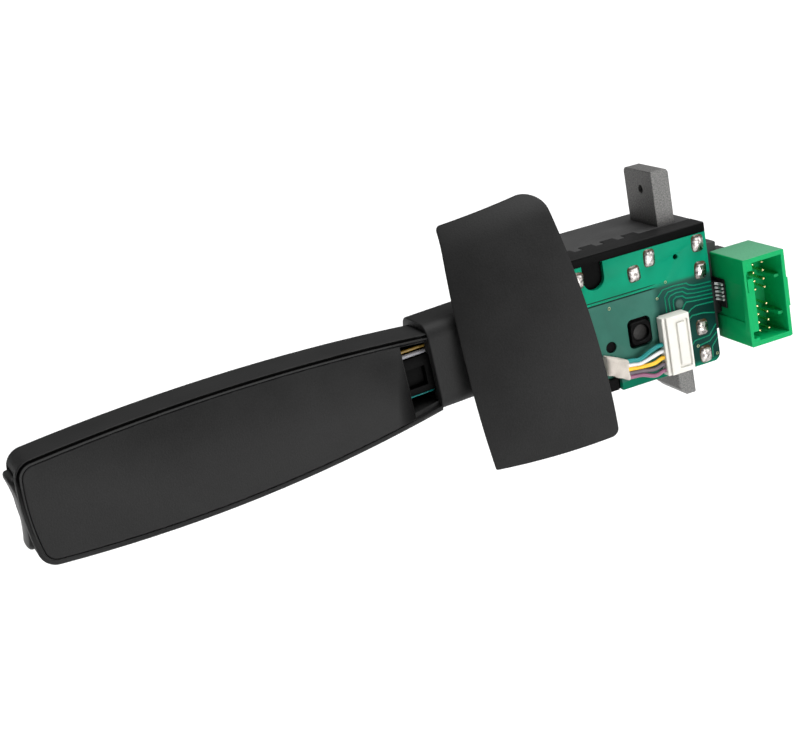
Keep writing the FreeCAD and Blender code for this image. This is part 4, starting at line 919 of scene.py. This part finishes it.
class STALK_OT_connector(bpy.types.Operator):
    """Makes the green vehicle connector with its contacts, pin strip and leads"""

    bl_idname = "stalk.connector"
    bl_label = "Vehicle connector"

    def execute(self, context):
        left, front = CONNECTOR_LEFT_X, CONNECTOR_FRONT_Y
        # The left wall is thinner along a shallow band, twice as thick inside and closed at its foot, and has
        # two keying notches in its inner half. X counts from its outer face and Y from the connector's mouth.
        forms = (("band", (-1.0, 0.3), (2.2, 20.0), (-39.4, -28.2), "DIFFERENCE"),
                 ("liner", (1.0, 3.0), (0.02, 10.0), (-45.9, -21.5), "UNION"),
                 ("foot", (0.02, 1.3), (0.02, 6.0), (-45.7, -42.0), "UNION"),
                 ("upper_notch", (1.05, 4.0), (-1.0, 6.5), (-26.5, -24.15), "DIFFERENCE"),
                 ("lower_notch", (1.05, 4.0), (-1.0, 6.5), (-44.3, -42.3), "DIFFERENCE"))
        shell = finished_mesh(merged_copy("vehicle_connector"), "connector_start")
        for name, x, y, z, operation in forms:
            tool = block(name, [left + side for side in x], [front + side for side in y], z)
            shell = carved(shell, tool, operation)
        stand_in("vehicle_connector", finished_mesh(opened(shell), "connector", 0.15), "connector_green")
        carry("connector_pins", "contact_gold", 0.05)
        carry("lead_strip", "switch_black", 0.1)
        wrap = opened(block("wrap", (left - 0.35, left + 0.05), (-18.4, -12.3), (-36.6, -27.9)))
        piece("lead_strip_wrap", finished_mesh(wrap, "wrap", 0.15), "switch_black", "housing")
        top_lead, pitch, radius = -29.4, 1.15, 0.4
        heights = [top_lead - pitch * index for index in range(5)]
        lines = [[(11.4, -0.4, z + 0.1), (12.2, -1.8, z), (12.3, -2.8, z), (12.3, -4.8, z - 0.05)]
                 for z in heights]
        leads = swept("connector_leads_piece", lines, radius * MM, "lead_tin", flatten=0.6,
                      shift=(0, BOARD_FRONT_Y - 0.1, 0), sides=10, steps=10)
        stand_in("connector_leads", leads, "solder_tin", "lead_tin")
        return {"FINISHED"}


class STALK_OT_plug(bpy.types.Operator):
    """Makes the white board header and the plug in it"""

    bl_idname = "stalk.plug"
    bl_label = "Header and plug"

    def execute(self, context):
        carry("board_header", "plug_white", 0.12)
        carry("harness_plug", "plug_white", 0.12)
        return {"FINISHED"}


class STALK_OT_harness(bpy.types.Operator):
    """Makes the five coloured wires between plug and sleeve, and the sleeve that gathers them"""

    bl_idname = "stalk.harness"
    bl_label = "Wires and sleeve"

    def execute(self, context):
        radius = context.scene.stalk_sizes.wire_radius
        sleeve_top, sleeve_pitch, plug_top, plug_pitch = -43.65, 1.2, -41.8, 1.95
        for index, colour in enumerate(("teal", "white", "yellow", "grey", "pink")):
            sleeve_z = sleeve_top - sleeve_pitch * index
            plug_z = plug_top - plug_pitch * index
            wave = 0.1 * math.sin(2.1 * index + 0.6)
            line = [(-21.6, -16.64, sleeve_z), (-19.6, -16.7, sleeve_z - 0.2),
                    (-17.2, -17.1 - wave, sleeve_z - 0.35), (-13.2, -17.5 + wave, plug_z - 0.55 + wave),
                    (-10.2, -17.2, plug_z), (-7.2, -17.2, plug_z)]
            wire("wire_" + colour, line, radius, "wire_" + colour, steps=40)
        voxel, lump, unevenness = 0.3, 2.4, 0.45
        soft = opened(remeshed(finished_mesh(merged_copy("harness_sleeve"), "sleeve_start"), voxel))
        for _ in range(6):
            bmesh.ops.smooth_vert(soft, verts=soft.verts, factor=0.5, use_axis_x=True, use_axis_y=True,
                                  use_axis_z=True)
        soft.normal_update()
        for vert in soft.verts:
            vert.co += vert.normal * noise.noise(vert.co / (lump * MM)) * unevenness * MM
        stand_in("harness_sleeve", finished_mesh(soft, "sleeve", sharp_deg=80), "sleeve_beige")
        return {"FINISHED"}


class STALK_OT_shield(bpy.types.Operator):
    """Makes the curved shield, whose top leans back, with the web that carries it"""

    bl_idname = "stalk.shield"
    bl_label = "Shield"

    def execute(self, context):
        sizes = context.scene.stalk_sizes
        place = shield_place(sizes.shield_lip / MM, sizes.shield_lean / MM)
        shell = plate("shield", place, rows=72, columns=36, edge_mm=SHIELD_EDGE)
        web_half = 7.5
        web = block("web", (-69.9, -58.9), (-33.0, -15.6), (LEVER_AXIS_Z - web_half, LEVER_AXIS_Z + web_half),
                    lever_turn())
        ball = bmesh.new()
        bmesh.ops.create_uvsphere(ball, u_segments=96, v_segments=64,
                                  radius=(SHIELD_RADIUS - SHIELD_WALL / 2) * MM)
        bmesh.ops.translate(ball, verts=ball.verts, vec=SHIELD_CENTRE * MM)
        web = carved(web, finished_mesh(ball, "ball"), "INTERSECT")
        joined = carved(shell, web, "UNION")
        joined.set_sharp_from_angle(angle=math.radians(SHARP_DEG))
        stand_in("shield", joined, "lever_black")
        return {"FINISHED"}


class STALK_OT_lever(bpy.types.Operator):
    """Makes the lever's shell with its groove, the front panel, core, collar, small board and screws"""

    bl_idname = "stalk.lever"
    bl_label = "Lever"

    def execute(self, context):
        sizes = context.scene.stalk_sizes
        shell = finished_mesh(merged_copy("lever_shell"), "lever_shell_start")
        shell = carved(shell, groove_tool(sizes.groove_width / MM, sizes.groove_depth / MM))
        stand_in("lever_shell", finished_mesh(opened(shell), "lever_shell", 0.12), "lever_black")
        for node, slot, bevel in (("cover_panel", "lever_black", 0.1), ("collar", "lever_black", 0.3),
                                  ("lever_board", "board_green", 0.1), ("tact_switches", "switch_black", 0.1),
                                  ("rocker_pin", "steel_ground", 0.1), ("shell_screws", "steel_ground", 0.1)):
            carry(node, slot, bevel)
        # The core deep in the lever gets a near-black copy of the nylon: painted shade.
        carry("lever_core", "housing_black", 0.2, "core_black")
        wire_y = -10.13
        # The white wire inside the lever takes a grey copy of white PVC: painted shade.
        for colour, height, radius, look in (("white", 5.6, 0.62, "wire_white_painted_shade"), ("ochre", 7.1, 0.42, None),
                                             ("teal", -6.3, 0.2, None)):
            route = [(118.0, height), (80.0, height + 0.1), (60.0, height), (43.5, height)]
            line = [lever_turn() @ (on_lever(distance, wire_y, up) * MM) / MM for distance, up in route]
            wire("lever_wire_" + colour, line, radius * MM, "wire_" + colour, 24, look)
        return {"FINISHED"}


class STALK_OT_rocker(bpy.types.Operator):
    """Makes the tilting button at the lever's tip, hollow along and crowned across"""

    bl_idname = "stalk.rocker"
    bl_label = "Tip rocker"

    def execute(self, context):
        crown = context.scene.stalk_sizes.rocker_crown / MM
        edge, corner, half_y, half_z, hollow = 1.1, 1.2, 5.2, 10.4, 1.3
        face, back, lift = 182.2, 177.4, 0.1

        def place(row, column, side):
            z = (row * 2 - 1) * (half_z - edge)
            gap = min(row, 1 - row) * 2 * (half_z - edge)
            narrow = corner - math.sqrt(max(corner**2 - max(corner - gap, 0) ** 2, 0))
            y = (column * 2 - 1) * (half_y - edge - narrow)
            front = face - hollow * (1 - (z / half_z) ** 2) - crown * (y / half_y) ** 2
            return on_lever(back if side else front, LEVER_MIDDLE_Y + y, lift + z)

        cap = plate("rocker_cap", place, rows=40, columns=20, edge_mm=edge)
        inner = merged_copy("tip_rocker")
        bmesh.ops.transform(inner, matrix=lever_turn().inverted(), verts=inner.verts)
        cut_off(inner, on_lever(back + 0.4, 0, 0), (-1, 0, 0))
        bmesh.ops.recalc_face_normals(inner, faces=inner.faces)
        joined = carved(cap, finished_mesh(inner, "rocker_hub"), "UNION")
        joined.transform(lever_turn())
        joined.set_sharp_from_angle(angle=math.radians(SHARP_DEG))
        stand_in("tip_rocker", joined, "rocker_black")
        return {"FINISHED"}


class STALK_OT_stage(bpy.types.Operator):
    """Makes the pale floor, the soft lights and the camera"""

    bl_idname = "stalk.stage"
    bl_label = "Stage"

    def execute(self, context):
        scene = context.scene
        paper = bmesh.new()
        bmesh.ops.create_grid(paper, x_segments=1, y_segments=1, size=30.0)
        bmesh.ops.translate(paper, verts=paper.verts, vec=(0, 0, scene.stalk_sizes.floor_drop))
        floor = linked("floor", closed(paper, "floor"))
        floor.data.materials.append(finish("floor"))

        camera = bpy.data.cameras.new("camera")
        camera.lens = 76.98
        camera.sensor_width = 36
        camera.sensor_fit = "HORIZONTAL"
        eye = linked("camera", camera)
        right = Vector((0.90505, -0.38692, -0.17659))
        up = Vector((0.27563, 0.21741, 0.93637))
        back = Vector((-0.32391, -0.89612, 0.30342))
        turn = Matrix((right, up, back)).transposed().to_4x4()
        turn.translation = Vector((-0.2397, -0.4289, 0.1130))
        eye.matrix_world = turn
        scene.camera = eye

        # A tent that is dim at the horizon and on the left, with its light above and the bright paper below
        world = bpy.data.worlds.new("light_tent")
        world.use_nodes = True
        tree = world.node_tree
        direction = add(tree, "ShaderNodeTexCoord")["Generated"]
        sides = add(tree, "ShaderNodeSeparateXYZ", {"Vector": direction})
        height = add(tree, "ShaderNodeMapRange", {
            "Value": sides["Z"], "From Min": 0.0, "From Max": 0.9, "To Min": 0.09, "To Max": 0.5})["Result"]
        right = add(tree, "ShaderNodeMapRange", {
            "Value": sides["X"], "From Min": -0.8, "From Max": 0.4, "To Min": 0.3, "To Max": 1.0})["Result"]
        level = add(tree, "ShaderNodeMath", {0: height, 1: right}, operation="MULTIPLY")[0]
        fill(tree, tree.nodes["Background"], {"Color": linear("#FFFFFF"), "Strength": level})
        scene.world = world
        self.light("top", "SUN", (0.15, -0.1, 1.0), math.radians(40), 3.3)
        self.light("front", "AREA", (0.45, -1.0, 0.15), 0.7, 4.5)
        self.light("low", "AREA", (0.05, -0.7, -0.28), 0.4, 2.6)
        scene.view_settings.view_transform = "Standard"
        return {"FINISHED"}

    def light(self, name, kind, place, size, power):
        """Adds a soft light that faces the part; size is an angle for a sun and a width for a lamp."""
        light = bpy.data.lights.new(name, kind)
        light.energy = power
        setattr(light, "angle" if kind == "SUN" else "size", size)
        lamp = linked(name, light)
        lamp.location = place
        aim = Vector((-0.06, -0.01, -0.03))
        lamp.rotation_euler = (Vector(place) - aim).to_track_quat("Z", "Y").to_euler()


class STALK_PT_panel(bpy.types.Panel):
    bl_idname = "STALK_PT_panel"
    bl_label = "Stalk Switch"
    bl_space_type = "VIEW_3D"
    bl_region_type = "UI"
    bl_category = "Stalk Switch"

    def draw(self, context):
        for group in (context.scene.stalk_sizes, context.scene.stalk_colours):
            for name in group.bl_rna.properties.keys():
                if name not in ("name", "rna_type"):
                    self.layout.prop(group, name)
        for operator in OPERATORS:
            self.layout.operator(operator.bl_idname)


OPERATORS = (STALK_OT_bracket, STALK_OT_housing, STALK_OT_mechanism, STALK_OT_board, STALK_OT_connector,
             STALK_OT_plug, STALK_OT_harness, STALK_OT_shield, STALK_OT_lever, STALK_OT_rocker,
             STALK_OT_stage)
CLASSES = (StalkSizes, StalkColours, *OPERATORS, STALK_PT_panel)


def register():
    for item in CLASSES:
        bpy.utils.register_class(item)
    bpy.types.Scene.stalk_sizes = bpy.props.PointerProperty(type=StalkSizes)
    bpy.types.Scene.stalk_colours = bpy.props.PointerProperty(type=StalkColours)


def unregister():
    del bpy.types.Scene.stalk_colours
    del bpy.types.Scene.stalk_sizes
    for item in reversed(CLASSES):
        bpy.utils.unregister_class(item)


def main():
    """Registers the add-on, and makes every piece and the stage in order."""
    register()
    bpy.ops.stalk.bracket()
    bpy.ops.stalk.housing()
    bpy.ops.stalk.mechanism()
    bpy.ops.stalk.board()
    bpy.ops.stalk.connector()
    bpy.ops.stalk.plug()
    bpy.ops.stalk.harness()
    bpy.ops.stalk.shield()
    bpy.ops.stalk.lever()
    bpy.ops.stalk.rocker()
    bpy.ops.stalk.stage()


if __name__ == "__main__":
    main()
